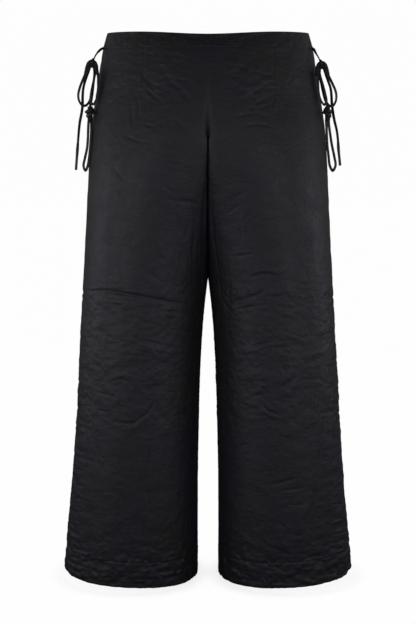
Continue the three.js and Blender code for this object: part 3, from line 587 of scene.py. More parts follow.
# Creases as they lie on the fronts, seen from straight in front: places (x, z) in
# millimetres, how deep, less than 0 for a ridge, and how wide.
FRONT_CREASES = [
    # under the waist on the wearer's right, from the dart to the middle
    ([(-111, -65), (-90, -75)], -0.8, 5), ([(-84, -68), (-58, -94), (-32, -120), (-14, -146)], 0.5, 8),
    ([(-109, -89), (-88, -106)], -0.4, 6), ([(-113, -82), (-84, -113)], 0.4, 5),
    ([(-111, -106), (-93, -120)], -0.5, 4), ([(-125, -112), (-122, -134), (-126, -153)], 0.7, 4),
    ([(-107, -118), (-110, -138)], 0.4, 4), ([(-143, -126), (-139, -160)], -0.4, 6),
    ([(-144, -68), (-142, -85)], -0.5, 4), ([(-113, -161), (-92, -168)], 0.6, 4),
    ([(-81, -194), (-41, -206)], 0.6, 4), ([(-81, -212), (-53, -217)], 0.5, 3.5),
    ([(-80, -227), (-43, -234)], 0.6, 4), ([(-74, -241), (-46, -245)], 0.5, 3.5),
    ([(-172, -234), (-148, -260)], 0.8, 9), ([(-120, -74), (-96, -92), (-74, -104)], 0.4, 5),
    ([(-118, -92), (-96, -112), (-72, -128)], 0.4, 5), ([(-136, -130), (-132, -164)], 0.6, 4),
    ([(-150, -180), (-120, -192), (-90, -196)], 0.5, 4), ([(-60, -150), (-36, -172)], 0.4, 5),
    # under the waist on the wearer's left
    ([(64, -99), (81, -96)], -0.5, 4), ([(84, -104), (110, -100), (134, -104)], 0.4, 5),
    ([(78, -128), (100, -118), (122, -108)], 0.4, 5), ([(88, -134), (112, -128)], 0.6, 3),
    ([(124, -116), (121, -136), (125, -150)], 0.7, 4), ([(60, -166), (90, -162), (120, -168)], 0.5, 4),
    ([(73, -111), (108, -89)], 0.45, 6), ([(82, -120), (94, -116)], -0.5, 4), ([(117, -108), (113, -136)], 0.5, 5),
    ([(106, -122), (101, -141)], 0.4, 4), ([(52, -146), (73, -144), (94, -142)], 0.8, 3.5),
    ([(135, -141), (142, -144)], -0.6, 4), ([(159, -111), (163, -122)], -0.6, 5),
    ([(15, -154), (17, -206), (15, -268)], -1.2, 6),
    # down the insides of the thighs, beside the inseams
    ([(-3, -250), (-6, -297), (-8.6, -352), (-9.5, -400), (-10, -443), (-13, -500)], 2.8, 7),
    ([(-22, -300), (-25, -352), (-27, -400), (-28, -470)], 0.9, 6),
    ([(5, -250), (6.5, -297), (8, -345), (14, -395), (21, -443), (27, -500)], 2.2, 6),
    ([(30, -380), (38, -440), (40, -500)], 0.7, 6), ([(49, -241), (56, -248)], 0.5, 4),
    ([(126, -212), (144, -204)], 0.5, 4),
    # right thigh
    ([(-170, -269), (-157, -290)], -0.7, 5), ([(-77, -293), (-6, -304)], 0.8, 7),
    ([(-80, -268), (-54, -286)], 0.6, 4), ([(-57, -316), (-51, -360)], 0.7, 3.5),
    ([(-47, -349), (-44, -366)], -0.6, 4), ([(-33, -367), (-33, -389)], -0.8, 6),
    ([(-39, -409), (-39, -433)], -0.7, 5), ([(-28, -378), (-28, -410)], 0.7, 4),
    ([(-60, -296), (-56, -316)], 0.8, 4), ([(-55, -322), (-50, -345), (-46, -370)], 1.4, 5),
    ([(-33, -334), (-38, -352), (-43, -366)], 1.1, 4.5), ([(-46, -374), (-48, -400), (-49, -430)], 1.0, 4.5),
    ([(-36, -392), (-34, -420)], 0.8, 4), ([(-60, -440), (-52, -462), (-40, -474)], 0.7, 4),
    ([(-92, -397), (-78, -400)], 0.5, 4), ([(-123, -412), (-78, -449)], 0.9, 10),
    ([(-229, -472), (-188, -462), (-160, -464), (-123, -469), (-87, -477), (-52, -485), (-34, -489)], 2.6, 6),
    ([(-170, -456), (-130, -459), (-100, -466)], 0.4, 3), ([(-190, -450), (-156, -447)], 0.5, 3),
    ([(-190, -457), (-159, -455)], -0.5, 3), ([(-182, -478), (-149, -478)], 0.5, 3),
    ([(-186, -486), (-153, -486)], 0.5, 3), ([(-164, -497), (-124, -496)], 0.6, 4),
    ([(-79, -492), (-55, -496)], -0.8, 4), ([(-88, -497), (-52, -502)], 0.8, 4),
    # left thigh
    ([(44, -291), (65, -280)], 0.6, 4), ([(52, -264), (82, -266)], 0.6, 4), ([(32, -322), (56, -304)], 0.8, 5),
    ([(57, -340), (67, -304)], -0.6, 5), ([(71, -340), (88, -321)], 0.5, 4), ([(92, -334), (128, -327)], 0.5, 4),
    ([(58, -334), (60, -367)], 0.5, 4), ([(43, -399), (80, -392)], 0.8, 5), ([(96, -388), (125, -379)], 0.6, 4),
    ([(75, -436), (86, -432), (104, -428), (129, -432), (143, -425)], 2, 5), ([(84, -423), (129, -421)], -1, 4),
    ([(54, -408), (54, -441)], 0.5, 3.5), ([(62, -411), (63, -445)], 0.5, 3.5),
    ([(25, -491), (43, -484), (67, -476), (90, -467), (104, -456)], 2.4, 6),
    ([(108, -471), (138, -467), (147, -460)], 1.6, 5), ([(36, -496), (76, -481)], 0.8, 4),
    ([(36, -506), (58, -495), (97, -486)], 0.9, 4), ([(121, -487), (166, -494)], 0.8, 5),
    ([(25, -483), (49, -508)], 0.8, 6),
    # right knee
    ([(-130, -558), (-97, -566), (-61, -580)], -1.1, 4.5), ([(-119, -550), (-79, -561)], 0.8, 4),
    ([(-157, -579), (-124, -580), (-103, -584)], 0.7, 4), ([(-124, -515), (-91, -521)], 0.6, 3.5),
    ([(-118, -524), (-102, -526)], -0.6, 3), ([(-77, -526), (-52, -541)], 0.8, 4),
    ([(-79, -499), (-64, -510)], -0.9, 4), ([(-166, -551), (-133, -556)], 0.6, 3),
    ([(-161, -575), (-137, -563)], -0.6, 3),
    ([(-177, -623), (-158, -616), (-139, -619), (-129, -632), (-123, -646)], -0.9, 4),
    ([(-180, -631), (-162, -624), (-147, -629), (-136, -640)], 0.9, 4), ([(-167, -588), (-158, -597)], -0.6, 3),
    ([(-204, -654), (-185, -655), (-166, -660)], 1.4, 5), ([(-204, -667), (-181, -674)], -0.9, 5),
    ([(-206, -687), (-181, -687)], 0.8, 5),
    ([(-176, -704), (-148, -708), (-135, -706), (-124, -697), (-113, -689), (-105, -678), (-96, -666)], 1.5, 5),
    ([(-167, -717), (-137, -718), (-120, -704), (-104, -690), (-89, -670)], -1.2, 5),
    ([(-195, -702), (-185, -703)], -0.7, 3), ([(-88, -604), (-74, -616)], -0.6, 3),
    # right shin
    ([(-104, -711), (-106, -749), (-110, -787), (-112, -826), (-112, -869)], 1.0, 6),
    ([(-89, -731), (-92, -798), (-96, -847)], -0.6, 11), ([(-111, -866), (-124, -905), (-128, -943)], -1.3, 3.5),
    ([(-118, -885), (-122, -915), (-120, -940)], 1.0, 3.5), ([(-108, -879), (-111, -918), (-112, -957)], -0.9, 3.5),
    ([(-114, -876), (-116, -894)], -0.8, 3), ([(-94, -919), (-79, -913), (-72, -895)], -0.7, 4),
    ([(-145, -923), (-128, -939)], -0.8, 8),
    # left knee
    ([(67, -577), (91, -568), (112, -561), (138, -556)], -1.3, 4.5), ([(82, -563), (125, -552)], 0.8, 4),
    ([(129, -569), (154, -579)], 1, 4), ([(138, -554), (149, -560), (160, -571)], -0.7, 3.5),
    ([(85, -604), (98, -590)], -1, 3), ([(75, -629), (87, -607)], -0.6, 4),
    ([(140, -593), (153, -601), (151, -612), (140, -625), (133, -636)], -0.9, 4),
    ([(131, -602), (142, -608), (131, -623)], 0.6, 4),
    ([(133, -649), (150, -644), (164, -631), (179, -619)], -1.4, 7),
    ([(137, -636), (153, -627), (164, -616)], 0.9, 5), ([(77, -650), (99, -646)], -0.8, 3.5),
    ([(89, -638), (106, -635)], -0.7, 4), ([(80, -659), (109, -650)], 0.8, 4),
    ([(62, -661), (77, -671), (95, -675)], -0.9, 4), ([(99, -669), (108, -682), (128, -689)], 1.6, 4.5),
    ([(101, -677), (110, -690), (136, -699)], -1.1, 4), ([(59, -672), (73, -679)], 0.6, 4),
    ([(146, -672), (167, -671), (176, -660)], -0.8, 4), ([(163, -705), (175, -700)], -0.6, 3),
    ([(98, -622), (114, -599)], -0.6, 4), ([(113, -498), (105, -515)], -0.5, 4),
    ([(139, -498), (163, -514), (174, -526)], -0.7, 5), ([(87, -536), (112, -528)], -0.5, 3),
    ([(105, -545), (123, -543)], -0.7, 3), ([(145, -543), (169, -548)], -0.5, 3),
    ([(134, -532), (186, -553)], 0.5, 4),
    # left shin
    ([(105, -736), (112, -724)], -0.5, 4), ([(59, -758), (77, -748)], 0.8, 4), ([(59, -770), (72, -764)], -1, 3),
    ([(115, -826), (142, -819), (167, -812)], 0.9, 5), ([(133, -837), (178, -832)], 0.8, 5),
    ([(143, -864), (177, -865)], 0.7, 4),
    ([(205, -705), (200, -762), (197, -809), (192, -857), (179, -885), (170, -913), (164, -935)], -2.2, 9),
    ([(215, -705), (210, -762), (207, -809), (202, -857), (189, -887), (180, -915)], 0.5, 4),
    ([(222, -580), (221, -660), (217, -740), (213, -800), (206, -850)], -1.0, 4.5),
    ([(214, -600), (212, -680), (209, -750), (204, -830)], 0.4, 4),
    ([(235, -640), (232, -720), (229, -800)], -0.8, 4.5), ([(145, -907), (158, -909)], -0.9, 5),
    ([(128, -895), (147, -911)], 0.7, 4), ([(145, -921), (158, -919)], 0.6, 3),
    ([(149, -934), (166, -931)], -0.7, 3.5), ([(60, -939), (79, -941)], -0.9, 3),
    ([(60, -884), (89, -877)], -0.4, 2.5), ([(60, -894), (89, -888)], -0.4, 2.5),
    ([(95, -882), (110, -884)], -0.7, 4), ([(95, -896), (104, -901)], 0.5, 4),
    ([(131, -944), (153, -948)], -0.8, 6),
    # low on the outer sides
    ([(-263, -851), (-230, -837)], 0.6, 3.5), ([(-265, -877), (-235, -863)], 0.6, 3.5),
    ([(-268, -903), (-233, -887)], 0.6, 3.5), ([(-267, -925), (-235, -915)], 0.6, 3.5),
    ([(229, -848), (261, -859)], 0.6, 3.5), ([(231, -873), (263, -885)], 0.6, 3.5),
    ([(234, -903), (265, -913)], 0.6, 3.5), ([(236, -931), (268, -940)], 0.6, 3.5),
    ([(-261, -968), (-228, -963)], 0.8, 4), ([(-255, -980), (-214, -963)], -0.8, 4),
    ([(-244, -987), (-208, -975)], 0.7, 4),
]

# Creases that lie across a side seam: distance from the seam, less than 0 in front.
SIDE_CREASES = [
    ([(-40, -474), (-10, -478), (45, -470)], 2.0, 7),
    ([(-20, -492), (40, -500), (80, -492)], 1.2, 6),
    ([(-35, -560), (20, -568), (60, -560)], 0.9, 6),
    ([(-30, -610), (35, -600)], -0.9, 6),
    ([(-45, -652), (0, -648), (55, -656)], 1.6, 6),
    ([(-30, -668), (30, -664)], -0.9, 6),
    ([(-35, -700), (25, -704)], 1.0, 6),
    ([(-15, -820), (40, -812)], 0.8, 5),
    ([(-20, -880), (30, -872)], 0.7, 5),
    ([(-10, -930), (45, -938)], 0.7, 5),
    ([(-5, -300), (30, -330)], 0.8, 8),
    ([(10, -380), (50, -360)], 0.8, 8),
]

# Creases of the backs alone, seen from straight behind the wearer's left leg.
SEAT_CREASES = [
    ([(30, -255), (70, -275), (120, -280)], 1.6, 9),
    ([(25, -285), (80, -305), (140, -300)], 1.2, 8),
    ([(60, -235), (110, -250)], -0.9, 8),
    ([(150, -60), (120, -110)], 0.7, 8),
    ([(40, -70), (60, -120)], 0.6, 8),
]


# The creases of each front lie on the back of the other leg too, a little lower and shallower,
# and those of the sides and the seat lie lower on the wearer's left.
BACK_GAIN = 0.9
BACK_DROP = -7
SIDE_DROPS = {"right": 0, "left": -9}
SEAT_DROPS = {"right": 0, "left": -6}
CREASE_GAIN = 1.1
CREASE_POWER = 0.6
SHOULDER_SHARE = 0.15
RIDGE_SHARE = 0.6


def on_cloth(grid, x, z):
    """The distance from the side seam of the place that shows at x, z."""
    points, _, from_side, _ = grid
    row = int(np.argmin(np.abs(points[:, points.shape[1] // 2, 2] - z)))
    return float(np.interp(abs(x), points[row, :, 0], from_side[row]))


def side_creases(side):
    """All creases of one side of the trousers, as distance from the side seam and height."""
    mirror = -1 if side == "right" else 1
    creases = []
    for line, depth, width in FRONT_CREASES:
        own = line[0][0] * mirror > 0
        gain, drop = (1, 0) if own else (BACK_GAIN, BACK_DROP)
        laid = [(on_cloth(GRIDS[own], x, z + drop), z + drop) for x, z in line]
        creases.append((laid, depth * gain, width))
    drop = SIDE_DROPS[side]
    for line, depth, width in SIDE_CREASES:
        creases.append(([(s, z + drop) for s, z in line], depth, width))
    drop = SEAT_DROPS[side]
    for line, depth, width in SEAT_CREASES:
        creases.append(([(on_cloth(GRIDS[False], x, z + drop), z + drop) for x, z in line], depth, width))
    return creases


def bump(value, centre, spread):
    """1 at the centre, falling softly to 0 on both sides of it."""
    return np.exp(-((value - centre) / spread) ** 2)


def crease_depth(from_side, height, creases):
    """How far the creases press each point in. A trough has raised shoulders, a ridge is softer,
    and both thin out at their ends."""
    depth = np.zeros_like(from_side)
    for line, deep, wide in creases:
        path = smooth_line(line, 3.0) if len(line) > 2 else np.linspace(line[0], line[1], 9)
        low, high = path.min(axis=0) - 4 * wide, path.max(axis=0) + 4 * wide
        near = (from_side > low[0]) & (from_side < high[0]) & (height > low[1]) & (height < high[1])
        if not near.any():
            continue
        s, z = from_side[near], height[near]
        best = np.full(s.shape, 1e9)
        share = np.zeros(s.shape)
        steps = np.linalg.norm(np.diff(path, axis=0), axis=1)
        run = np.concatenate([[0], np.cumsum(steps)])
        for k in range(len(path) - 1):
            a, b = path[k], path[k + 1]
            t = np.clip(((s - a[0]) * (b[0] - a[0]) + (z - a[1]) * (b[1] - a[1])) / steps[k] ** 2, 0, 1)
            away = np.hypot(s - a[0] - t * (b[0] - a[0]), z - a[1] - t * (b[1] - a[1]))
            closer = away < best
            best = np.where(closer, away, best)
            share = np.where(closer, (run[k] + t * steps[k]) / run[-1], share)
        ends = np.sin(math.pi * np.clip(share, 0.03, 0.97)) ** 0.6
        # thin cloth: a deep crease is only a little deeper than a shallow one
        real = CREASE_GAIN * abs(deep) ** CREASE_POWER * ends
        if deep > 0:
            q = best / (0.5 * wide * (0.7 + 0.3 * ends))
            depth[near] += real * (np.exp(-q ** 1.5) - SHOULDER_SHARE * bump(q, 2, 1.3))
        else:
            q = best / (0.8 * wide)
            depth[near] -= RIDGE_SHARE * real * np.exp(-q * q)
    return depth


def soft_noise(u, v, seed):
    """Even noise from -1 to 1 that changes smoothly, one cell to a unit."""
    table = np.random.default_rng(seed).uniform(-1, 1, (128, 128))
    i, j = np.floor(u).astype(int), np.floor(v).astype(int)
    a, b = u - i, v - j
    a, b = a * a * (3 - 2 * a), b * b * (3 - 2 * b)
    i, j = i % 127, j % 127
    top = table[i, j] * (1 - a) + table[i + 1, j] * a
    low = table[i, j + 1] * (1 - a) + table[i + 1, j + 1] * a
    return top * (1 - b) + low * b


def crumple(u, v, seed):
    """A net of thin sharp creases, 1 on a crease and 0 between them."""
    bend = 0.6 * soft_noise(u * 0.7 + 9, v * 0.7 + 31, seed + 7)
    return np.exp(-(soft_noise(u + bend, v - bend, seed) / 0.3) ** 2)


def unevenness(forms, across, down, seed=0, parts=None):
    """Adds up a table's waves and crumples. A row says how long its form is across and down the
    cloth, and how deep it is everywhere and, on top of that, in each part of the cloth."""
    total = 0
    for form in forms:
        depth = form.get("everywhere", 0)
        for part, share in (parts or {}).items():
            depth = depth + form.get(part, 0) * share
        total = total + depth * form["kind"](across / form["across"] + form["start"][0],
                                             down / form["down"] + form["start"][1], seed + form["seed"])
    return total


# The cloth's own unevenness, in millimetres: long soft flutes, and crumples where it is gathered
# or has been sat in.
LOOSE_FORMS = [
    dict(kind=soft_noise, across=42, down=230, start=(40, 20), seed=0, everywhere=0.9),
    dict(kind=soft_noise, across=22, down=20, start=(50, 90), seed=1, everywhere=0.4, hem=0.4, knee=0.25),
    dict(kind=soft_noise, across=34, down=6.5, start=(50, 90), seed=2, everywhere=0.06, beside_seam=1.6,
         hem=0.4, knee=0.12),
    dict(kind=soft_noise, across=11, down=4.5, start=(50, 90), seed=9, waist=0.3),
    dict(kind=crumple, across=20, down=8, start=(30, 50), seed=10, waist=0.25),
    dict(kind=soft_noise, across=6, down=34, start=(50, 90), seed=3, everywhere=0.08, inner_low=0.7,
         inner_thigh=0.4, hem=0.45),
    dict(kind=soft_noise, across=8, down=7, start=(50, 90), seed=4, everywhere=0.16, side_low=0.3,
         hem=0.6, inner_low=0.5, knee=0.25),
    dict(kind=crumple, across=30, down=11, start=(50, 70), seed=5, everywhere=0.1, side_low=0.5,
         hem=0.4, knee=0.2),
    dict(kind=crumple, across=11, down=34, start=(50, 70), seed=6, everywhere=0.14, inner_low=0.5,
         inner_thigh=0.8),
    dict(kind=crumple, across=14, down=13, start=(80, 90), seed=8, everywhere=0.17, hem=1,
         inner_low=0.5, knee=0.25),
]
CLOTH_SEEDS = {"right": 11, "left": 47}
PUCKER_SEEDS = {"right": 13, "left": 29}


def seams_spared(from_side, from_centre):
    """A share that falls beside the side seam, where the cloth shows in outline, and the inseam."""
    return (1 - 0.8 * bump(from_side, -7, 20)) * (1 - 0.75 * bump(from_centre, 0, 16))


def loose_cloth(from_side, from_centre, height, seed):
    """How far the cloth's own unevenness presses each point in."""
    uneven = 0.5 + np.abs(soft_noise(from_side / 38 + 60, height / 60 + 60, seed + 12))
    side_low = bump(from_side, 0, 72) * np.clip((-height - 520) / 250, 0, 1) * uneven
    return unevenness(LOOSE_FORMS, from_side, height, seed, {
        "waist": bump(height, -60, 95),
        "knee": bump(height, -575, 85) + 0.8 * bump(height, -478, 30) + 0.6 * bump(height, -690, 35),
        "inner_thigh": bump(from_centre, 60, 35) * bump(height, -400, 120),
        "inner_low": bump(from_centre, 15, 50) * np.clip((-height - 330) / 200, 0, 1),
        "side_low": side_low,
        "beside_seam": side_low * (1 - 0.7 * bump(from_side, -6, 18)),
        "hem": bump(height, -HEM_DEPTH + 20, 60) * seams_spared(from_side, from_centre)})


# The level at which the legs part. The front darts: how far each is from the middle at its top,
# how far it slants out, and the level at which it ends.
LEGS_PART = -520
DART_PLACES = {"right": 113, "left": 115}
DART_SLANT = 2
DART_END = -104


def pressed_in(side, is_front):
    """How far each point of a panel is pressed in from its smooth form, in millimetres."""
    points, _, from_side, from_centre = GRIDS[is_front]
    height = points[:, :, 2]
    level = np.broadcast_to(LEVELS[:, None], height.shape)
    press = crease_depth(from_side, height, side_creases(side))
    press += loose_cloth(from_side, from_centre, height, CLOTH_SEEDS[side])
    # creases die out at the waist seam, at the centre seam and where the thighs touch
    calm = np.clip((TOP_LEVEL - level) / 8, 0, 1) * np.clip(from_centre / 16, 0, 1)
    touching = np.clip((level - LEGS_PART) / 40, 0, 1)
    calm *= 1 - touching * (1 - np.clip((from_centre - 12) / 35, 0, 1))
    press *= calm
    # no ridge stands up under the hanging ties
    near_tie = bump(from_side, -48, 42) * bump(height, -150, 95)
    press = np.where(press < 0, press * (1 - np.clip(1.6 * near_tie, 0, 1)), press)
    # seams draw the cloth in
    press += 0.9 * np.exp(-np.abs(from_side) / 2.2) + 0.5 * (1 - touching) * np.exp(-from_centre / 1.8)
    press += 0.4 * np.exp(-(TOP_LEVEL - level) / 2.0)
    # the centre seam is drawn in, more toward the crotch
    drawn = np.clip((-level - 40) / 60, 0, 1) * np.clip((level + 230) / 30, 0, 1)
    lower = np.clip((-level - 70) / 105, 0, 1)
    groove = (0.7 + 3.6 * lower ** 2) * bump(from_centre, 0, 2.4 + 1.5 * lower)
    press += drawn * (groove + 0.8 * bump(from_centre, 0, 12))
    # the insides of the thighs rest against each other
    if is_front:
        resting = np.clip((level + 500) / 25, 0, 1) * np.clip((-level - 250) / 15, 0, 1)
        resting = resting * bump(from_centre, 14, 10)
        press = press * (1 - resting) - 0.66 * resting
    # the hem is pulled along its stitches, ripples below them and rolls in at its edge
    spared = seams_spared(from_side, from_centre)
    pull = soft_noise(from_side / 8 + 30, height / 14 + 30, 5)
    ripple = soft_noise(from_side / 70 + 30, height / 6.5 + 30, PUCKER_SEEDS[side])
    stitch_level = -HEM_DEPTH + HEM_TURN_UP
    press += bump(level, stitch_level, 1.8) * 0.45
    press += bump(level, stitch_level, 11) * 0.8 * pull * spared
    press += bump(level, -HEM_DEPTH + 24, 30) * 0.6 * ripple * spared
    press += 0.9 * np.exp(-(level + HEM_DEPTH) / 1.2)
    if is_front:
        slant = DART_SLANT * np.clip((-level - 30) / 70, 0, 1)
        away = points[:, :, 0] - DART_PLACES[side] - slant
        sewn = np.clip((level - DART_END) / 20, 0, 1)
        press += sewn * (0.5 * np.exp(-(away / 1.3) ** 2) - 0.2 * bump(away, 4, 3))
    return press


def cloth_panel(side, is_front):
    """One panel as a closed thin wall of satin, and the points of its outer face."""
    points, outward, from_side, _ = GRIDS[is_front]
    mirror = -1 if side == "right" else 1
    press = pressed_in(side, is_front)
    rows, columns = press.shape
    level = np.broadcast_to(LEVELS[:, None], press.shape)
    turned_up = np.clip((-level - HEM_DEPTH + HEM_TURN_UP + 1) / 3, 0, 1)
    wall = CLOTH + (HEM_CLOTH - CLOTH) * turned_up
    outer = points - outward * press[:, :, None]
    # the inside is the same cloth in larger steps, behind the deepest crease near each point
    padded = np.pad(press, STEP, mode="edge")
    deepest = np.max([padded[i:i + rows, j:j + columns]
                      for i in range(0, 2 * STEP + 1, 2) for j in range(0, 2 * STEP + 1, 2)], axis=0)
    inner = points - outward * (deepest + wall)[:, :, None]
    for edge in ((0, slice(None)), (-1, slice(None)), (slice(None), 0), (slice(None), -1)):
        inner[edge] = outer[edge] - outward[edge] * wall[edge][..., None]
    inner = inner[::STEP, ::STEP]
    both = np.concatenate([outer.reshape(-1, 3), inner.reshape(-1, 3)])
    both[:, 0] *= mirror
    front = np.arange(rows * columns).reshape(rows, columns)
    back = np.arange(inner.shape[0] * inner.shape[1]).reshape(inner.shape[:2]) + rows * columns
    faces = []
    for a, b, c, d in ((front[:-1, :-1], front[1:, :-1], front[1:, 1:], front[:-1, 1:]),
                       (back[:-1, :-1], back[:-1, 1:], back[1:, 1:], back[1:, :-1])):
        faces += np.stack([a, b, c, d], -1).reshape(-1, 4).tolist()
    for rim, inside, turned in ((front[:, 0], back[:, 0], False), (front[:, -1], back[:, -1], True),
                                (front[0], back[0], True), (front[-1], back[-1], False)):
        for k in range(len(inside) - 1):
            face = [int(i) for i in rim[k * STEP:k * STEP + STEP + 1]] + [int(inside[k + 1]), int(inside[k])]
            faces.append(face if turned else face[::-1])
    if (mirror > 0) != is_front:
        faces = [face[::-1] for face in faces]
    uv = np.stack([from_side, points[:, :, 2]], -1)
    uv = np.concatenate([uv.reshape(-1, 2), uv[::STEP, ::STEP].reshape(-1, 2)])
    name = f"{'front' if is_front else 'back'}_{side}"
    piece = sewn_mesh(f"satin_{name}", both, faces, uv, PANEL_SATIN)
    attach(piece, "root")
    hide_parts(name)
    return piece, outer * [mirror, 1, 1]


PANEL_SATIN = satin_material(
    "panel satin", dark=(0.0080, 0.0079, 0.0076), light=(0.0128, 0.0122, 0.0125),
    cool=(0.0106, 0.0098, 0.0142), rough=(0.48, 0.6), crinkle_mm=0.8, spacing=0.007,
    specular=0.28, sheen=0.03)
panel_skins = {}
for side in ("right", "left"):
    for is_front in (True, False):
        piece, skin = cloth_panel(side, is_front)
        panel_skins[side, is_front] = skin


# ---------------------------------------------------------------------------
# Waistband: a narrow band of the same satin, folded double, with a soft rolled
# top edge. It is cut in a front and a back part that meet at the side seams.
BAND_CLOTH = 2.4
BAND_COLUMNS = 300
BAND_HALF_RUN = 240
FRONT_DIP = 6
DIP_REACH = 90
# The band's cross-section: share of its height from the top, share of its wall.
BAND_ROWS = [
    (1.0, 0.2), (0.985, 0.06), (0.95, 0.0), (0.89, -0.03), (0.82, -0.05), (0.74, -0.08), (0.66, -0.1),
    (0.58, -0.11), (0.5, -0.12), (0.42, -0.11), (0.34, -0.1), (0.26, -0.08), (0.18, -0.05), (0.1, 0.0),
    (0.03, 0.16), (0.0, 0.5), (0.03, 0.84), (0.12, 1.0), (0.5, 1.0), (0.96, 1.0)]
BAND_OUTSIDE = 0.3
# Puckers of its outer face, in millimetres.
BAND_FORMS = [
    dict(kind=soft_noise, across=19, down=8, start=(20, 30), seed=3, everywhere=0.6),
    dict(kind=soft_noise, across=10, down=5, start=(20, 30), seed=4, everywhere=0.5),
    dict(kind=soft_noise, across=5.5, down=16, start=(20, 30), seed=6, everywhere=0.4),
    dict(kind=crumple, across=12, down=10, start=(20, 30), seed=21, everywhere=0.7),
]


def band_piece(name, is_front):
    """One half of the band, swept round its oval with a row of points for each row of its section."""
    sign = 1 if is_front else -1
    rings = []
    for share, wall in BAND_ROWS:
        level = TOP_LEVEL * share
        x, y, _, _, _ = level_line(is_front, level)
        if x[0] > 0:
            x, y = np.concatenate([[0], x]), np.concatenate([[y[0]], y])
        run = np.concatenate([[0], np.cumsum(np.hypot(np.diff(x), np.diff(y)))])
        places = np.linspace(0, run[-1], BAND_COLUMNS // 2 + 1)
        px, py = np.interp(places, run, x), np.interp(places, run, y)
        along_x, along_y = np.gradient(px), np.gradient(py)
        size = np.hypot(along_x, along_y)
        out_x, out_y = sign * along_y / size, -sign * along_x / size
        out_x[0] = 0
        dip = FRONT_DIP * np.exp(-((px / DIP_REACH) ** 2)) * (1 - share) if is_front else 0 * px
        inset = BAND_CLOTH * wall + 0.8 * np.exp(-(places[-1] - places) / 1.5) * (1 - wall)
        if wall < BAND_OUTSIDE:
            inset = inset + unevenness(BAND_FORMS, places, np.full_like(places, level))
        half = np.stack([px - out_x * inset, py - out_y * inset, level - dip], -1)
        rings.append(np.concatenate([half[:0:-1] * [-1, 1, 1], half]))
    grid = np.array(rings)
    count, columns = grid.shape[:2]
    index = np.arange(count * columns).reshape(count, columns)
    following = np.roll(index, -1, axis=0)
    faces = np.stack([index[:, :-1], index[:, 1:], following[:, 1:], following[:, :-1]], -1).reshape(-1, 4)
    first, last = index[:, 0], index[::-1, -1]
    if not is_front:
        faces, first, last = faces[:, ::-1], first[::-1], last[::-1]
    faces = faces.tolist() + [first.tolist(), last.tolist()]
    run = np.linspace(-BAND_HALF_RUN, BAND_HALF_RUN, columns)
    uv = np.stack(np.broadcast_arrays(run[None, :], grid[:, :, 2]), -1).reshape(-1, 2)
    piece = sewn_mesh(f"satin_{name}", grid.reshape(-1, 3), faces, uv, PANEL_SATIN)
    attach(piece, "root")
    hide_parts(name)


band_piece("waistband_front", True)
band_piece("waistband_back", False)


# ---------------------------------------------------------------------------
# Hem stitches: one row of short black thread stitches round each leg, 50 mm
# above the hem, that holds the turned-up cloth.
STITCH_LENGTH = 2.6
STITCH_PITCH = 4.2
STITCH_WIDTH = 0.44
STITCH_STARTS = 3
STITCH_STOPS = 5


def hem_stitches(side):
    """All the stitches of one leg as one mesh, each a short arched thread on the cloth."""
    tapes = []
    row = int(np.argmin(np.abs(LEVELS + HEM_DEPTH - HEM_TURN_UP)))
    for is_front in (True, False):
        skin = panel_skins[side, is_front][row]
        run = np.concatenate([[0], np.cumsum(np.linalg.norm(np.diff(skin, axis=0), axis=1))])
        centre = skin.mean(axis=0)
        for start in np.arange(STITCH_STARTS, run[-1] - STITCH_STOPS, STITCH_PITCH):
            places = np.array([start, start + STITCH_LENGTH / 2, start + STITCH_LENGTH])
            line = np.stack([np.interp(places, run, skin[:, k]) for k in range(3)], -1)
            along = line[2] - line[0]
            out = np.array([along[1], -along[0], 0])
            out /= np.linalg.norm(out)
            if out @ ((line[1] - centre) * [1, 1, 0]) < 0:
                out = -out
            line += out * np.array([0.05, 0.3, 0.05])[:, None]
            tapes.append(tape_form(line, STITCH_WIDTH, STITCH_WIDTH, out, PLAIN, step=1.4, sides=5))
    piece = sewn_mesh(f"hem_stitches_{side}", *joined(tapes), TIE_SATIN)
    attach(piece, "root")


hem_stitches("right")
hem_stitches("left")


# ---------------------------------------------------------------------------
# Room: a pale floor just under the hems, a white surround, two soft lights in
# front on either side, and one to each side, all level with the thighs.
FLOOR_LEVEL = -1.037
FLOOR_EDGES = ((-6, -0.4), (6, -0.4), (6, 9), (-6, 9))
DIM_PAPER = (0.02, 0.02, 0.02, 1)


def reckoned(tree, operation, *values):
    """The result of a Math node on the values."""
    node = add_node(tree, "ShaderNodeMath", operation=operation)
    for place, value in enumerate(values):
        tree.links.new(value, node.inputs[place])
    return node.outputs[0]


def ranged(tree, value, span, onto, **settings):
    """The value, moved from one range onto another."""
    ends = {"From Min": span[0], "From Max": span[1], "To Min": onto[0], "To Max": onto[1]}
    node = add_node(tree, "ShaderNodeMapRange", ends, **settings)
    tree.links.new(value, node.inputs["Value"])
    return node.outputs["Result"]


floor_mesh = bpy.data.meshes.new("floor")
floor_mesh.from_pydata([(x, y, FLOOR_LEVEL) for x, y in FLOOR_EDGES], [], [(0, 1, 2, 3)])
floor = bpy.data.objects.new("floor", floor_mesh)
bpy.context.scene.collection.objects.link(floor)
paper = bpy.data.materials.new("floor paper")
paper.use_nodes = True
paper_tree = paper.node_tree
paper_shader = paper_tree.nodes["Principled BSDF"]
for socket, value in (("Roughness", 0.8), ("Specular IOR Level", 0), ("Base Color", DIM_PAPER),
                      ("Emission Strength", 1)):
    paper_shader.inputs[socket].default_value = value
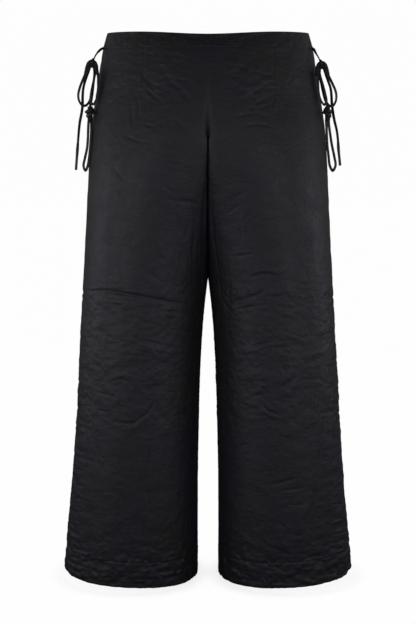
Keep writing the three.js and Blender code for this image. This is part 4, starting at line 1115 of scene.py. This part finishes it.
# it glows near-white to the camera, with a painted contact shadow that makes it a little darker close under the
# hems, and the fibres of the paper hardly show
contact_shadow = add_node(paper_tree, "ShaderNodeAmbientOcclusion", {"Distance": 0.035}, samples=8)
fibre = add_node(paper_tree, "ShaderNodeTexNoise", {"Scale": 600})
pale = reckoned(paper_tree, "MULTIPLY", ranged(paper_tree, contact_shadow.outputs["AO"], (0.2, 1), (0.72, 0.985)),
                ranged(paper_tree, fibre.outputs["Fac"], (0, 1), (0.995, 1)))
dim_paper = add_node(paper_tree, "ShaderNodeBsdfDiffuse", {"Color": DIM_PAPER})
straight = add_node(paper_tree, "ShaderNodeLightPath")
either = add_node(paper_tree, "ShaderNodeMixShader")
add_links(paper_tree, (pale, paper_shader.inputs["Emission Color"]),
          (straight.outputs["Is Camera Ray"], either.inputs[0]), (dim_paper.outputs[0], either.inputs[1]),
          (paper_shader.outputs[0], either.inputs[2]),
          (either.outputs[0], paper_tree.nodes["Material Output"].inputs["Surface"]))
floor_mesh.materials.append(paper)

# The surround looks white. As a light it is brighter behind and to the sides than in front,
# and dim low down.
world = bpy.data.worlds.new("studio")
world.use_nodes = True
bpy.context.scene.world = world
sky = world.node_tree
sky.nodes.clear()
way = add_node(sky, "ShaderNodeSeparateXYZ")
sky.links.new(add_node(sky, "ShaderNodeTexCoord").outputs["Generated"], way.inputs[0])
soft = {"interpolation_type": "SMOOTHSTEP"}
behind = ranged(sky, way.outputs["Y"], (-0.5, 0.5), (0.05, 0.16), **soft)
above = ranged(sky, way.outputs["Z"], (0.35, 0.7), (0, 0.06), **soft)
aside = ranged(sky, reckoned(sky, "ABSOLUTE", way.outputs["X"]), (0.35, 0.85), (0, 0.3), **soft)
not_low = ranged(sky, way.outputs["Z"], (-0.42, -0.05), (0.1, 1), **soft)
strength = reckoned(sky, "ADD", reckoned(sky, "ADD", behind, above), reckoned(sky, "MULTIPLY", aside, not_low))
shown = add_node(sky, "ShaderNodeBackground", {"Color": (0.985, 0.985, 0.985, 1)})
lighting = add_node(sky, "ShaderNodeBackground")
seen = add_node(sky, "ShaderNodeLightPath")
pick = add_node(sky, "ShaderNodeMixShader")
end = add_node(sky, "ShaderNodeOutputWorld")
add_links(sky, (strength, lighting.inputs["Strength"]), (seen.outputs["Is Camera Ray"], pick.inputs[0]),
          (lighting.outputs[0], pick.inputs[1]), (shown.outputs[0], pick.inputs[2]),
          (pick.outputs[0], end.inputs["Surface"]))

SOFTBOX_COLOUR = (1, 0.99, 1.11)
SOFTBOXES = [
    dict(name="key softbox", spot=(-0.95, -1.3, -0.5), aim=(0, 0, -0.45), size=(1.1, 0.4), watts=6.4),
    dict(name="fill softbox", spot=(0.75, -1.45, -0.5), aim=(0, 0, -0.45), size=(1.1, 0.4), watts=6.1),
    dict(name="right side softbox", spot=(-1.5, -0.1, -0.42), aim=(0, 0, -0.42), size=(0.9, 0.5), watts=3.9),
    dict(name="left side softbox", spot=(1.5, -0.1, -0.42), aim=(0, 0, -0.42), size=(0.9, 0.5), watts=3.6),
]
for softbox in SOFTBOXES:
    lamp = bpy.data.lights.new(softbox["name"], "AREA")
    lamp.shape = "RECTANGLE"
    lamp.size, lamp.size_y = softbox["size"]
    lamp.energy = softbox["watts"]
    lamp.color = SOFTBOX_COLOUR
    light = bpy.data.objects.new(softbox["name"], lamp)
    light.location = softbox["spot"]
    toward = np.array(softbox["aim"], float) - np.array(softbox["spot"], float)
    light.rotation_euler = (math.acos(-toward[2] / np.linalg.norm(toward)), 0,
                            math.atan2(toward[1], toward[0]) - math.pi / 2)
    bpy.context.scene.collection.objects.link(light)

bpy.context.scene.view_settings.view_transform = "Standard"
bpy.context.scene.view_settings.look = "None"
